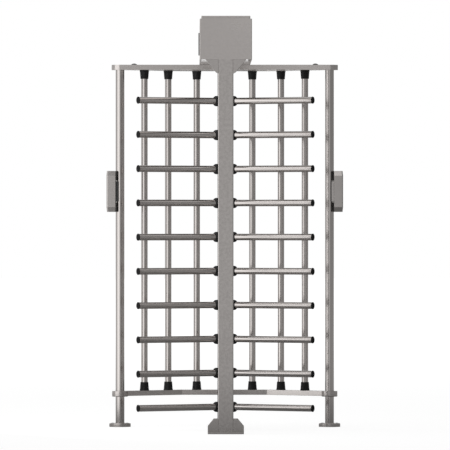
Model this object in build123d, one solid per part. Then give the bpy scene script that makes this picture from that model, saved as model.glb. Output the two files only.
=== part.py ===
from build123d import *
from math import atan2, cos, pi, radians, sin, tan
import os

# Full height turnstile, in millimetres. +Z is up, and the origin is on the floor, on the rotor's
# axis. The comb post stands at -Y, the guard at +Y, and people pass along X.

# --- driving dimensions -----------------------------------------------------------------------

# rotor
row_count = 10
first_row_height = 131.6
row_pitch = 195.5
arm_diameter = 38.0
tube_wall = 2.0
rotor_radius = 578.0
column_diameter = 89.0
column_wall = 4.0
column_bottom = 60.0
column_headroom = 17.0
left_wing_angle = 210.0
right_wing_angle = 330.0
rear_wing_angle = 90.0
collar_start = 30.0
collar_straight = 52.0
collar_end = 71.0
collar_radius = 32.0
collar_nose_radius = 23.0
cap_rim = 1.5
cap_thickness = 4.0
cap_edge = 1.2
plug_length = 22.0

# guard
guard_gap = 75.5
side_gap = 33.5
outer_post_y = 430.0
outer_post_diameter = 51.0
outer_post_wall = 2.6
rail_corner_x = 254.0
rail_depth = 40.0
rail_height = 30.0
rail_wall = 2.5
lower_rail_bottom = 179.0
rail_collar_diameter = 92.0
rail_collar_drop = 3.0
centre_bar_spacing = 163.5
side_bar_offsets = (331.0, 470.0)
sleeve_length = 49.0
sleeve_lip = 6.0
sleeve_base_radius = 27.5
sleeve_nose_radius = 22.75
beam_depth = 98.0
beam_wall = 3.0
beam_cap_x = 529.0
beam_cap_radius = 19.0
beam_cap_height = 8.5
flange_diameter = 125.0
flange_thickness = 21.0
flange_edge = 5.0
flange_pitch_diameter = 84.0
anchor_hole_radius = 5.5
head_clearance = 190.9

# comb
comb_gap = 36.0
comb_post_width = 86.0
comb_post_wall = 4.0
comb_post_corner = 5.0
comb_tip_gap = 20.0
base_plate_width = 204.0
base_plate_depth = 140.0
base_plate_thickness = 12.0
base_bolt_x = 78.0
base_bolt_inset = 30.0
gusset_thickness = 8.0
base_gusset_height = 86.0
base_gusset_side = 45.0
base_gusset_top = 68.0
head_gusset_reach = 72.0
head_gusset_drop = 78.0
head_gusset_tip = 13.0

# head
head_width = 295.0
head_height = 229.0
sheet = 3.0
head_corner = 4.0
lock_proud = 3.0
rim_inset = 12.5
rim_thickness = 2.0
lid_overhang = 3.0
lid_lift = 8.0
lid_height = 8.5
lid_sheet = 1.5
seal_gap = 0.5
spindle_hole_gap = 6.0

# lid hinge and lock
hinge_gap = 0.4
knuckle_radius = 2.8
hinge_pin_radius = 1.5
leaf_thickness = 1.2
lid_leaf_height = 7.0
knuckle_length = 24.0
knuckle_count = 5
hinge_end_inset = 178.5
lock_wall_gap = 64.5
lock_drop = 31.0
barrel_radius = 9.5
barrel_head_radius = 12.0
barrel_length = 20.0
plug_radius = 6.0
keyway_width = 1.6
keyway_height = 7.0
keyway_depth = 6.0
cam_length = 30.0
cam_width = 12.0
cam_thickness = 3.0
keeper_thickness = 3.0
keeper_width = 12.0
keeper_foot = 15.0
keeper_gap = 9.0

# status indicator on the head's left wall
indicator_y = 250.0
indicator_length = 240.0
indicator_bottom = 53.0
indicator_height = 124.0
indicator_proud = 6.0
indicator_frame = 20.0
indicator_chamfer = 4.0
lens_setback = 1.0

# rotor bearings
spindle_radius = 25.0
spindle_flange_thickness = 12.0
spindle_height = 150.0
bearing_wall = 15.0
bearing_height = 30.0
housing_wall = 10.0
housing_flange_radius = 65.0
housing_flange_thickness = 14.0
bearing_seat = 4.0
floor_plate_width = 170.0
floor_plate_thickness = 12.0
floor_bolt_spacing = 130.0
pivot_radius = 20.0
pivot_foot_radius = 38.0
pivot_foot_height = 12.0
foot_bearing_wall = 13.0
foot_bearing_height = 24.0
thrust_thickness = 12.0

# lock
plate_thickness = 12.0
plate_wall_gap = 6.5
plate_front = -236.0
plate_rear = 300.0
pin_wall_gap = 22.0
disc_height = 65.0
disc_thickness = 12.0
notch_count = 12
notch_depth = 18.0
pawl_angle = 240.0
pawl_arm = 75.0
pawl_reach = 115.0
pawl_line = 10.0
pawl_width = 14.0
pawl_boss_radius = 12.0
pawl_pin_radius = 6.0
pawl_post_radius = 10.0
pawl_throw = 15.0
tooth_width = 16.0
tooth_depth = 14.0
notch_play = 6.0
pin_head_height = 4.0
pin_head_radius = 9.0
solenoid_length = 60.0
solenoid_width = 50.0
solenoid_height = 50.0
solenoid_foot_length = 36.0
solenoid_gap = 6.5
plunger_radius = 7.0
plunger_length = 60.0
plunger_gap = 0.6

# drive
pulley_radius = 75.0
pulley_height = 98.0
pulley_width = 26.0
pulley_flange = 5.0
pulley_flange_thickness = 2.5
motor_pulley_radius = 30.0
motor_distance = 230.0
motor_radius = 45.0
motor_height = 62.0
motor_shaft_radius = 8.0
belt_thickness = 3.0
belt_gap = 0.3
control_box_size = (200.0, 210.0, 80.0)
control_box_gap = 25.0
supply_size = (160.0, 110.0, 60.0)
supply_gap = 25.0
gland_rail_gap = 57.5
gland_bore_radius = 6.5
gland_thread_radius = 10.0
gland_nut_radius = 15.0
gland_length = 34.0
gland_nut_height = 5.0
gland_grip_height = 11.0

# card readers on the outer posts
reader_bottom = 1254.0
reader_height = 239.0
reader_bevel = 28.0
reader_taper = 3.0
reader_side_taper = 7.0
reader_half_width = 47.5
reader_back_gap = 0.5
reader_depth = 52.5
reader_wall = 2.0
window_width = 62.0
window_height = 104.0
window_recess = 1.2
back_plate_thickness = 2.5
saddle_depth = 9.5
saddle_height = 52.0
saddle_half_width = 36.0
saddle_corner = 6.0
clamp_gap = 7.0
clamp_depth = 15.0
clamp_half_width = 33.0

# clearances
fit = 0.05
seat = 0.1
running_gap = 0.3

# --- values that follow ------------------------------------------------------------------------

arm_radius = arm_diameter / 2
column_radius = column_diameter / 2
last_row_height = first_row_height + row_pitch * (row_count - 1)
clear_height = last_row_height + head_clearance
head_bottom = clear_height + rail_height
head_top = head_bottom + head_height
head_floor_top = head_bottom + sheet
plate_top = head_floor_top + plate_thickness
rail_rear_y = rotor_radius + guard_gap + arm_radius
rail_top = lower_rail_bottom + rail_height
outer_post_x = rotor_radius + side_gap
outer_post_radius = outer_post_diameter / 2
comb_post_y = -(rotor_radius + comb_gap + comb_post_width / 2)
comb_post_back = comb_post_y + comb_post_width / 2
head_front = comb_post_y - comb_post_width / 2
head_rear = rail_rear_y + sleeve_base_radius - lock_proud
head_half = head_width / 2
head_middle_y = (head_front + head_rear) / 2
head_length = head_rear - head_front
rim_half = head_half - rim_inset
rim_length = head_length - 2 * rim_inset
lid_half = rim_half + lid_overhang
lid_length = rim_length + 2 * lid_overhang
lid_bottom = head_top + lid_lift
lid_top = lid_bottom + lid_height
rim_top = lid_top - lid_sheet - seal_gap
hinge_x = rim_half + hinge_gap + knuckle_radius
hinge_z = head_top + leaf_thickness + knuckle_radius
hinge_reach = head_length / 2 - hinge_end_inset
hinge_stations = (head_middle_y - hinge_reach, head_middle_y, head_middle_y + hinge_reach)
lock_z = head_top - lock_drop
column_top = head_bottom - column_headroom
disc_bottom = head_floor_top + disc_height
pulley_bottom = head_floor_top + pulley_height
wall_inside = head_half - sheet
lock_x = lock_wall_gap - wall_inside
pawl_lean = radians(270.0 - pawl_angle)
pawl_pivot_x = wall_inside - pin_wall_gap
pawl_radius = (pawl_pivot_x - pawl_arm * cos(pawl_lean)) / sin(pawl_lean)
disc_radius = pawl_radius - pawl_line
control_box_y = head_front + sheet + control_box_gap + control_box_size[1] / 2
supply_y = control_box_y + (control_box_size[1] + supply_size[1]) / 2 + supply_gap
gland_y = rail_rear_y - gland_rail_gap
wing_angles = {"left": left_wing_angle, "right": right_wing_angle, "rear": rear_wing_angle}

BASE = (Align.CENTER, Align.CENTER, Align.MIN)


# --- shared shapes -----------------------------------------------------------------------------


def rod(radius, bottom, top, x=0.0, y=0.0):
    """Upright round bar between two heights."""
    return Pos(x, y, bottom) * Cylinder(radius, top - bottom, align=BASE)


def pipe(outer, wall, bottom, top, x=0.0, y=0.0):
    """Upright round tube, given by its outer radius and wall."""
    return rod(outer, bottom, top, x, y) - rod(outer - wall, bottom, top, x, y)


def block(x_span, y_span, z_span):
    """Box between pairs of low and high values."""
    size = [high - low for low, high in (x_span, y_span, z_span)]
    middle = [(high + low) / 2 for low, high in (x_span, y_span, z_span)]
    return Pos(*middle) * Box(*size)


def round_box(x_span, y_span, z_span, corner):
    """Box with rounded upright edges."""
    solid = block(x_span, y_span, z_span)
    return fillet(solid.edges().filter_by(Axis.Z), corner)


def prism(points, bottom, top):
    """Upright prism on a plan outline."""
    outline = Polyline(*points, close=True)
    return extrude(Plane.XY.offset(bottom) * make_face(outline), top - bottom)


def side_plate(points, y_start, thickness):
    """Flat plate on an X-Z outline, that starts at one Y and goes towards +Y."""
    face = make_face(Polyline(*points, close=True))
    return Plane.XZ.offset(-y_start) * extrude(face, -thickness)


def mirrored(solid):
    """The same piece on the other side, mirrored in the Y-Z plane."""
    return mirror(solid, Plane.YZ)


def save(name, *solids):
    """Write the separate solids of one node."""
    shape = solids[0] if len(solids) == 1 else Compound(list(solids))
    export_step(shape, f"parts/{name}.step")


# --- comb --------------------------------------------------------------------------------------


def comb_post():
    half = comb_post_width / 2
    y_span = (comb_post_y - half, comb_post_y + half)
    outer = round_box((-half, half), y_span, (base_plate_thickness, head_bottom), comb_post_corner)
    inner_half = half - comb_post_wall
    inner_y = (comb_post_y - inner_half, comb_post_y + inner_half)
    inner_corner = comb_post_corner - comb_post_wall
    inner_x = (-inner_half, inner_half)
    return outer - round_box(inner_x, inner_y, (base_plate_thickness, head_bottom), inner_corner)


def comb_base_plate():
    half = base_plate_width / 2
    rear = head_front + base_plate_depth
    plate = block((-half, half), (head_front, rear), (0, base_plate_thickness))
    for x in (-base_bolt_x, base_bolt_x):
        for y in (head_front + base_bolt_inset, rear - base_bolt_inset):
            plate -= rod(anchor_hole_radius, 0, base_plate_thickness, x, y)
    return plate


def gusset_pairs(points):
    """Left and right plates flush with the front and the back of the comb post."""
    plates = []
    for y_start in (head_front, comb_post_back - gusset_thickness):
        plate = side_plate(points, y_start, gusset_thickness)
        plates += [plate, mirrored(plate)]
    return plates


def comb_base_gussets():
    inner = comb_post_width / 2
    outer = base_plate_width / 2
    points = [
        (inner, base_plate_thickness),
        (outer, base_plate_thickness),
        (outer, base_gusset_side),
        (base_gusset_top, base_gusset_height),
        (inner, base_gusset_height),
    ]
    return [plate - comb_post_body() for plate in gusset_pairs(points)]


def comb_head_gussets():
    inner = comb_post_width / 2
    tip_height = head_bottom - head_gusset_drop
    points = [
        (inner, head_bottom),
        (inner + head_gusset_reach, head_bottom),
        (inner + head_gusset_tip, tip_height + head_gusset_tip / 2),
        (inner, tip_height),
    ]
    return [plate - comb_post_body() for plate in gusset_pairs(points)]


def comb_post_body():
    """Outside of the comb post, which the gussets are cut back to."""
    half = comb_post_width / 2
    y_span = (comb_post_y - half, comb_post_y + half)
    return round_box((-half, half), y_span, (0, head_bottom), comb_post_corner)


def tube_plug(length):
    """End cap of a tube that lies along -X from the origin: a rim outside and a plug inside."""
    rim = Pos(cap_thickness / 2, 0, 0) * Rot(0, 90, 0) * Cylinder(arm_radius + cap_rim, cap_thickness)
    rim = fillet(rim.edges().sort_by(Axis.X)[-1], cap_edge)
    plug = Pos(-length / 2, 0, 0) * Rot(0, 90, 0) * Cylinder(arm_radius - tube_wall - seat, length)
    return rim + plug


def comb_rows():
    return [first_row_height + row_pitch * (row + 0.5) for row in range(row_count - 1)]


comb_tip_y = -(column_radius + comb_tip_gap)


def comb_fingers():
    length = (comb_tip_y - cap_thickness) - comb_post_back
    finger = Rot(-90, 0, 0) * pipe(arm_radius, tube_wall, 0, length)
    return [Pos(0, comb_post_back, height) * finger for height in comb_rows()]


def comb_finger_caps():
    cap = Rot(0, 0, 90) * tube_plug(plug_length)
    return [Pos(0, comb_tip_y - cap_thickness, height) * cap for height in comb_rows()]


# --- guard -------------------------------------------------------------------------------------

rail_slope = atan2(rail_rear_y - outer_post_y, outer_post_x - rail_corner_x)
mitre = tan(rail_slope / 2)


def rail_centre(half_depth, overrun, bottom, top):
    """Rear stretch of a bent rail, between its two mitres."""
    rear_x = rail_corner_x + half_depth * mitre + overrun
    front_x = rail_corner_x - half_depth * mitre + overrun
    rear_y = rail_rear_y + half_depth
    front_y = rail_rear_y - half_depth
    points = [(-rear_x, rear_y), (rear_x, rear_y), (front_x, front_y), (-front_x, front_y)]
    return prism(points, bottom, top)


def rail_side(half_depth, overrun, bottom, top):
    """Sloping stretch of a bent rail on the right, from its mitre to the outer post."""
    along = (cos(rail_slope), -sin(rail_slope))
    across = (sin(rail_slope), cos(rail_slope))
    rear = (rail_corner_x + half_depth * mitre, rail_rear_y + half_depth)
    front = (rail_corner_x - half_depth * mitre, rail_rear_y - half_depth)
    start = [(x - overrun * along[0], y - overrun * along[1]) for x, y in (rear, front)]
    end = []
    for side in (-half_depth, half_depth):
        x = outer_post_x + overrun * along[0] + side * across[0]
        y = outer_post_y + overrun * along[1] + side * across[1]
        end.append((x, y))
    return prism([start[0], start[1], end[0], end[1]], bottom, top)


def bent_rail(bottom, end_body):
    """Three mitred stretches of rectangular tube, cut back to what they end against."""
    top = bottom + rail_height
    half = rail_depth / 2
    core = (half - rail_wall, rail_depth, bottom + rail_wall, top - rail_wall)
    centre = rail_centre(half, 0, bottom, top) - rail_centre(*core)
    side = rail_side(half, 0, bottom, top) - rail_side(*core) - end_body
    return [mirrored(side), centre, side]


def beam_outline(inset, bottom, top):
    """Beam with half-round ends about the outer posts."""
    half = beam_depth / 2 - inset
    body = block((-outer_post_x, outer_post_x), (outer_post_y - half, outer_post_y + half), (bottom, top))
    for x in (-outer_post_x, outer_post_x):
        body += rod(half, bottom, top, x, outer_post_y)
    return body


def top_beam():
    return beam_outline(0, clear_height, head_bottom) - beam_outline(
        beam_wall, clear_height, head_bottom - beam_wall
    )


def beam_cap(x):
    """Low dome on the beam."""
    sphere_radius = (beam_cap_radius**2 + beam_cap_height**2) / (2 * beam_cap_height)
    centre = head_bottom + beam_cap_height - sphere_radius
    dome = Pos(x, outer_post_y, centre) * Sphere(sphere_radius)
    return dome & rod(beam_cap_radius, head_bottom, head_bottom + beam_cap_height, x, outer_post_y)


def bar_places():
    """Plan positions of the guard's upright bars."""
    places = [(-centre_bar_spacing, rail_rear_y), (0.0, rail_rear_y), (centre_bar_spacing, rail_rear_y)]
    for x in side_bar_offsets:
        y = rail_rear_y - (x - rail_corner_x) * tan(rail_slope)
        places += [(-x, y), (x, y)]
    return places


def sleeve():
    """Tapered sleeve that stands on its wide end, with a straight lip at its narrow end."""
    taper = sleeve_length - sleeve_lip
    outside = Cone(sleeve_base_radius, sleeve_nose_radius, taper, align=BASE)
    outside += rod(sleeve_nose_radius + cap_rim / 2, taper, sleeve_length)
    return outside - rod(arm_radius + seat, 0, sleeve_length)


def outer_post(side):
    top = head_bottom - beam_wall
    return pipe(
        outer_post_radius, outer_post_wall, flange_thickness, top, side * outer_post_x, outer_post_y
    )


def post_flange(side):
    flange = rod(flange_diameter / 2, 0, flange_thickness)
    flange = fillet(flange.edges().sort_by(Axis.Z)[-1], flange_edge)
    for turn in range(4):
        angle = turn * pi / 2
        x = flange_pitch_diameter / 2 * cos(angle)
        y = flange_pitch_diameter / 2 * sin(angle)
        flange -= rod(anchor_hole_radius, 0, flange_thickness, x, y)
    return Pos(side * outer_post_x, outer_post_y, 0) * flange


def collar_body():
    """Outside of the right rail collar, which the lower rail ends against."""
    bottom = lower_rail_bottom - rail_collar_drop
    return rod(rail_collar_diameter / 2, bottom, rail_top, outer_post_x, outer_post_y)


def rail_collar():
    bore = rod(outer_post_radius + seat, 0, head_bottom, outer_post_x, outer_post_y)
    return collar_body() - bore


# --- card readers ------------------------------------------------------------------------------

reader_back = outer_post_x + outer_post_radius + reader_back_gap
reader_top = reader_bottom + reader_height


def reader_section(inset, height, end):
    """Plan section of the reader's case, smaller at its two ends."""
    half = reader_half_width - inset - (reader_side_taper if end else 0)
    front = reader_back + reader_depth - inset - (reader_taper if end else 0)
    centre = ((front + reader_back) / 2, outer_post_y)
    return Plane.XY.offset(height) * Pos(*centre) * Rectangle(front - reader_back, 2 * half)


def reader_form(inset):
    """Case with bevelled ends, less an inset all round."""
    low = reader_bottom + inset
    high = reader_top - inset
    bevel = reader_bevel - inset
    straight = [low + bevel, high - bevel]
    ends = loft([reader_section(inset, low, True), reader_section(inset, straight[0], False)])
    ends += loft([reader_section(inset, straight[1], False), reader_section(inset, high, True)])
    return ends + loft([reader_section(inset, height, False) for height in straight])


def reader_shell():
    shell = reader_form(0) - reader_form(reader_wall)
    middle = (reader_bottom + reader_top) / 2
    face = reader_back + reader_depth
    window_y = (outer_post_y - window_width / 2, outer_post_y + window_width / 2)
    window_z = (middle - window_height / 2, middle + window_height / 2)
    return shell - block((face - window_recess, face + window_recess), window_y, window_z)


def saddle(depth, half_width, z_span):
    """Block that is hollowed to sit on the outer post."""
    x_span = (reader_back - depth - 2 * seat, reader_back)
    body = block(x_span, (outer_post_y - half_width, outer_post_y + half_width), z_span)
    low, high = z_span
    return body - rod(outer_post_radius + seat, low, high, outer_post_x, outer_post_y)


def reader_base():
    """Back plate inside the shell, with a saddle at each end."""
    half = reader_half_width - reader_wall - reader_side_taper
    plate_x = (reader_back, reader_back + back_plate_thickness)
    plate_z = (reader_bottom + reader_wall, reader_top - reader_wall)
    base = block(plate_x, (outer_post_y - half, outer_post_y + half), plate_z)
    low, high = plate_z
    for z_span in ((low, low + saddle_height), (high - saddle_height, high)):
        body = saddle(saddle_depth, saddle_half_width, z_span)
        end_edges = body.edges().filter_by(Axis.Y).group_by(Axis.X)[0]
        far_edge = end_edges.sort_by(Axis.Z)[0 if z_span[0] == low else -1].center().Z
        picked = [edge for edge in end_edges if abs(edge.center().Z - far_edge) < seat]
        base += fillet(picked, saddle_corner)
    return base


def reader_clamp():
    low = reader_bottom + reader_wall + saddle_height + clamp_gap
    high = reader_top - reader_wall - saddle_height - clamp_gap
    return saddle(clamp_depth, clamp_half_width, (low, high))


# --- head --------------------------------------------------------------------------------------


def head_body(inset, bottom, top, corner):
    """Box of the head's outline, less an inset all round."""
    half = head_half - inset
    return round_box((-half, half), (head_front + inset, head_rear - inset), (bottom, top), corner)


def rim_body(half, length, bottom, top):
    """Box of the rim's or the lid's outline, about the middle of the head."""
    y_span = (head_middle_y - length / 2, head_middle_y + length / 2)
    return block((-half, half), y_span, (bottom, top))


def head_housing():
    """Four walls and a top with an upright rim about the service opening."""
    walls = head_body(0, head_bottom, head_top, head_corner)
    walls -= head_body(sheet, head_bottom, head_top - sheet, head_corner - sheet)
    rim = rim_body(rim_half, rim_length, head_top, rim_top)
    inner_half = rim_half - rim_thickness
    inner_length = rim_length - 2 * rim_thickness
    opening = rim_body(inner_half, inner_length, head_top - sheet, rim_top)
    barrel_hole = Pos(lock_x, head_rear, lock_z) * Rot(90, 0, 0) * Cylinder(barrel_radius + fit, 4 * sheet)
    return walls + rim - opening - barrel_hole


def head_floor():
    floor = head_body(sheet, head_bottom, head_floor_top, head_corner - sheet)
    floor -= rod(spindle_radius + spindle_hole_gap, head_bottom, head_floor_top)
    return floor - rod(gland_thread_radius + fit, head_bottom, head_floor_top, 0, gland_y)


def head_lid():
    lid = rim_body(lid_half, lid_length, lid_bottom, lid_top)
    inside = rim_body(lid_half - lid_sheet, lid_length - 2 * lid_sheet, lid_bottom, lid_top - lid_sheet)
    return lid - inside


def knuckles(station, first):
    """Every other knuckle of one hinge, along Y."""
    start = station - knuckle_length * knuckle_count / 2
    rings = []
    for index in range(first, knuckle_count, 2):
        centre = start + knuckle_length * (index + 0.5)
        ring = Cylinder(knuckle_radius, knuckle_length - hinge_gap) - Cylinder(
            hinge_pin_radius + fit, knuckle_length
        )
        rings.append((centre, Pos(hinge_x, centre, hinge_z) * Rot(90, 0, 0) * ring))
    return rings


def hinge_leaf(station, first, leaf_x, leaf_z, web_x, web_z):
    """Hinge leaf with its knuckles, and a web between each knuckle and the leaf."""
    half = knuckle_length * knuckle_count / 2
    leaf = block(leaf_x, (station - half, station + half), leaf_z)
    bore = Pos(hinge_x, station, hinge_z) * Rot(90, 0, 0) * Cylinder(hinge_pin_radius + fit, 4 * half)
    for centre, ring in knuckles(station, first):
        reach = (knuckle_length - hinge_gap) / 2
        leaf += ring + (block(web_x, (centre - reach, centre + reach), web_z) - bore)
    return leaf


def hinge_leaf_fixed(station):
    leaf_x = (hinge_x + knuckle_radius + hinge_gap, head_half - hinge_gap)
    leaf_z = (head_top, head_top + leaf_thickness)
    web_x = (hinge_x, hinge_x + knuckle_radius + hinge_gap)
    return hinge_leaf(station, 0, leaf_x, leaf_z, web_x, (head_top, hinge_z))


def hinge_leaf_lid(station):
    leaf_x = (lid_half, lid_half + leaf_thickness)
    leaf_z = (lid_bottom, lid_bottom + lid_leaf_height)
    web_z = (hinge_z, lid_bottom)
    return hinge_leaf(station, 1, leaf_x, leaf_z, leaf_x, web_z)


def hinge_pin(station):
    length = knuckle_length * knuckle_count
    return Pos(hinge_x, station, hinge_z) * Rot(90, 0, 0) * Cylinder(hinge_pin_radius, length)


def lock_turned(shape, y_low, y_high):
    """Shape along the lock's axis, between two Y values."""
    return Pos(lock_x, (y_low + y_high) / 2, lock_z) * Rot(90, 0, 0) * shape(y_high - y_low)


def lock_barrel():
    tail = head_rear - barrel_length
    face = head_rear + lock_proud
    barrel = lock_turned(lambda length: Cylinder(barrel_radius, length), tail, head_rear)
    barrel += lock_turned(lambda length: Cylinder(barrel_head_radius, length), head_rear, face)
    return barrel - lock_turned(lambda length: Cylinder(plug_radius + fit, length), tail, face)


def lock_plug():
    tail = head_rear - barrel_length - running_gap
    face = head_rear + lock_proud
    plug = lock_turned(lambda length: Cylinder(plug_radius, length), tail, face)
    x_span = (lock_x - keyway_width / 2, lock_x + keyway_width / 2)
    z_span = (lock_z - keyway_height / 2, lock_z + keyway_height / 2)
    return plug - block(x_span, (face - keyway_depth, face), z_span)


cam_face_y = head_rear - barrel_length - running_gap


def lock_cam():
    """Flat cam that points up when the lid is free."""
    x_span = (lock_x - cam_width / 2, lock_x + cam_width / 2)
    y_span = (cam_face_y - cam_thickness, cam_face_y)
    return block(x_span, y_span, (lock_z - cam_width / 2, lock_z + cam_length))


def lid_keeper():
    """Hook under the lid, which the turned cam holds down."""
    foot_top = lock_z - cam_width / 2 - keeper_gap
    y_middle = cam_face_y - cam_thickness / 2
    y_span = (y_middle - keeper_width / 2, y_middle + keeper_width / 2)
    plate_x = lock_x - cam_length - keeper_thickness
    stem = block(
        (plate_x - keeper_thickness, plate_x), y_span, (foot_top - keeper_thickness, lid_top - lid_sheet)
    )
    foot = block((plate_x, plate_x + keeper_foot), y_span, (foot_top - keeper_thickness, foot_top))
    return stem + foot


indicator_y_span = (indicator_y - indicator_length / 2, indicator_y + indicator_length / 2)
indicator_z_span = (head_bottom + indicator_bottom, head_bottom + indicator_bottom + indicator_height)


def indicator_pocket(x_span):
    """Space inside the indicator's frame."""
    y_span = (indicator_y_span[0] + indicator_frame, indicator_y_span[1] - indicator_frame)
    z_span = (indicator_z_span[0] + indicator_frame, indicator_z_span[1] - indicator_frame)
    return block(x_span, y_span, z_span)


def indicator_bezel():
    outer_x = -head_half - indicator_proud
    body = block((outer_x, -head_half), indicator_y_span, indicator_z_span)
    body = chamfer(body.faces().sort_by(Axis.X)[0].edges(), indicator_chamfer)
    return body - indicator_pocket((outer_x, -head_half))


def indicator_lens():
    return indicator_pocket((-head_half - indicator_proud + lens_setback, -head_half))


def cable_gland():
    """Gland through the head's floor: nut above, body below, clear bore."""
    bottom = head_bottom - gland_length / 2
    top = bottom + gland_length
    body = rod(gland_thread_radius, bottom, top, 0, gland_y)
    hexagon = RegularPolygon(gland_nut_radius, 6)
    nut = extrude(Plane.XY.offset(head_floor_top) * Pos(0, gland_y) * hexagon, gland_nut_height)
    grip_plane = Plane.XY.offset(head_bottom - gland_grip_height)
    grip = extrude(grip_plane * Pos(0, gland_y) * hexagon, gland_grip_height)
    return body + nut + grip - rod(gland_bore_radius, bottom, top, 0, gland_y)


# --- rotor -------------------------------------------------------------------------------------


def column_body():
    return rod(column_radius, 0, head_bottom)


def rotor_column():
    return pipe(column_radius, column_wall, column_bottom, column_top)


def arm_heights():
    return [first_row_height + row_pitch * row for row in range(row_count)]


def spread(piece, angle):
    """One wing's copies of a piece that lies along +X at the origin's height."""
    return [Pos(0, 0, height) * Rot(0, 0, angle) * piece for height in arm_heights()]


def wing_arm():
    length = rotor_radius - cap_thickness
    arm = Rot(0, 90, 0) * pipe(arm_radius, tube_wall, 0, length)
    return arm - Pos(0, 0, -column_diameter) * Cylinder(column_radius, 4 * column_diameter)


def arm_collar():
    """Bell-shaped collar: straight at the column, rounded down to the arm."""
    bore = arm_radius + seat
    middle_x = (collar_straight + collar_end) / 2 + (collar_end - collar_straight) / 8
    middle_r = (collar_radius + collar_nose_radius) / 2 + (collar_radius - collar_nose_radius) / 6
    start = (collar_start, collar_radius)
    shoulder = (collar_straight, collar_radius)
    nose = (collar_end, collar_nose_radius)
    outline = Polyline((collar_end, bore), (collar_start, bore), start, shoulder)
    outline += ThreePointArc(shoulder, (middle_x, middle_r), nose)
    outline += Line(nose, (collar_end, bore))
    body = revolve(make_face(outline), Axis.X)
    return body - Cylinder(column_radius + seat, 4 * column_diameter)


def arm_end_cap():
    return Pos(rotor_radius - cap_thickness, 0, 0) * tube_plug(plug_length)


def every_wing(piece):
    solids = []
    for angle in wing_angles.values():
        solids += spread(piece, angle)
    return solids


def spindle():
    """Flange that closes the column's top, with the shaft above it."""
    top = head_floor_top + spindle_height
    flange = rod(column_radius, column_top, column_top + spindle_flange_thickness)
    plug = rod(column_radius - column_wall - fit, column_top - spindle_flange_thickness, column_top)
    return flange + plug + rod(spindle_radius, column_top, top)


def bearing_cup():
    """Closed cup in the column's foot, that holds the lower bearing."""
    outer = column_radius - column_wall - fit
    top = column_bottom + foot_bearing_height + thrust_thickness
    cup = rod(outer, column_bottom, top)
    return cup - rod(pivot_radius + foot_bearing_wall + fit, column_bottom, column_bottom + foot_bearing_height)


def lower_bearing():
    top = column_bottom + foot_bearing_height
    return pipe(pivot_radius + foot_bearing_wall, foot_bearing_wall - fit, column_bottom, top)


def floor_plate():
    half = floor_plate_width / 2
    plate = block((-half, half), (-half, half), (0, floor_plate_thickness))
    for x in (-floor_bolt_spacing / 2, floor_bolt_spacing / 2):
        for y in (-floor_bolt_spacing / 2, floor_bolt_spacing / 2):
            plate -= rod(anchor_hole_radius, 0, floor_plate_thickness, x, y)
    return plate


def pivot_pin():
    foot_top = floor_plate_thickness + pivot_foot_height
    top = column_bottom + foot_bearing_height - running_gap
    return rod(pivot_foot_radius, floor_plate_thickness, foot_top) + rod(pivot_radius, foot_top, top)


# --- mechanism in the head ----------------------------------------------------------------------


def mechanism_plate():
    y_span = (plate_front, plate_rear)
    half = wall_inside - plate_wall_gap
    plate = block((-half, half), y_span, (head_floor_top, plate_top))
    return plate - rod(spindle_radius + spindle_hole_gap, head_floor_top, plate_top)


def upper_bearing_housing():
    seat_radius = spindle_radius + bearing_wall + seat
    top = plate_top + bearing_seat + bearing_height
    body = rod(seat_radius + housing_wall, plate_top, top)
    body += rod(housing_flange_radius, plate_top, plate_top + housing_flange_thickness)
    body -= rod(seat_radius, plate_top + bearing_seat, top)
    return body - rod(spindle_radius + spindle_hole_gap, plate_top, top)


def upper_bearing():
    bottom = plate_top + bearing_seat
    return pipe(spindle_radius + bearing_wall, bearing_wall - fit, bottom, bottom + bearing_height)


def lock_disc():
    disc = rod(disc_radius, disc_bottom, disc_bottom + disc_thickness)
    notch_width = tooth_width + 2 * notch_play
    for index in range(notch_count):
        angle = 360 * index / notch_count
        notch = Pos(disc_radius, 0, 0) * Box(2 * notch_depth, notch_width, 4 * disc_thickness)
        disc -= Pos(0, 0, disc_bottom) * Rot(0, 0, angle) * notch
    return disc - rod(spindle_radius + fit, disc_bottom, disc_bottom + disc_thickness)


pawl_pivot_y = pawl_arm * sin(pawl_lean) - pawl_radius * cos(pawl_lean)
pawl_pivot = (-pawl_pivot_x, pawl_pivot_y)
pawl_turn = pawl_angle - 270.0


def pawl():
    """Left pawl, swung out of the disc."""
    z_centre = disc_thickness / 2
    lever = Pos(pawl_reach / 2, 0, z_centre) * Box(pawl_reach, pawl_width, disc_thickness)
    lever += rod(pawl_boss_radius, 0, disc_thickness)
    lever += rod(pawl_width / 2, 0, disc_thickness, pawl_reach, 0)
    tip = pawl_line + tooth_depth
    lever += Pos(pawl_arm, tip / 2, z_centre) * Box(tooth_width, tip, disc_thickness)
    lever -= rod(pawl_pin_radius + fit, 0, disc_thickness)
    return Pos(pawl_pivot[0], pawl_pivot[1], disc_bottom) * Rot(0, 0, pawl_turn - pawl_throw) * lever


def pawl_pin():
    """Stepped post that carries the left pawl, with a head above it."""
    x, y = pawl_pivot
    shoulder = disc_bottom - running_gap
    head = disc_bottom + disc_thickness + running_gap
    post = rod(pawl_post_radius, plate_top, shoulder, x, y) + rod(pawl_pin_radius, shoulder, head, x, y)
    return post + rod(pin_head_radius, head, head + pin_head_height, x, y)


swing = tan(radians(pawl_throw)) * pawl_reach
nose_offset = swing + pawl_width / 2 / cos(radians(pawl_throw)) + plunger_gap


def on_plunger_line(shape):
    """Place a shape that lies along +X on the left plunger's line, from the lever outwards."""
    pivot = Pos(pawl_pivot[0], pawl_pivot[1], disc_bottom + disc_thickness / 2)
    return pivot * Rot(0, 0, pawl_turn) * Pos(pawl_reach, 0, 0) * Rot(0, 0, -90) * shape


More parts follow.
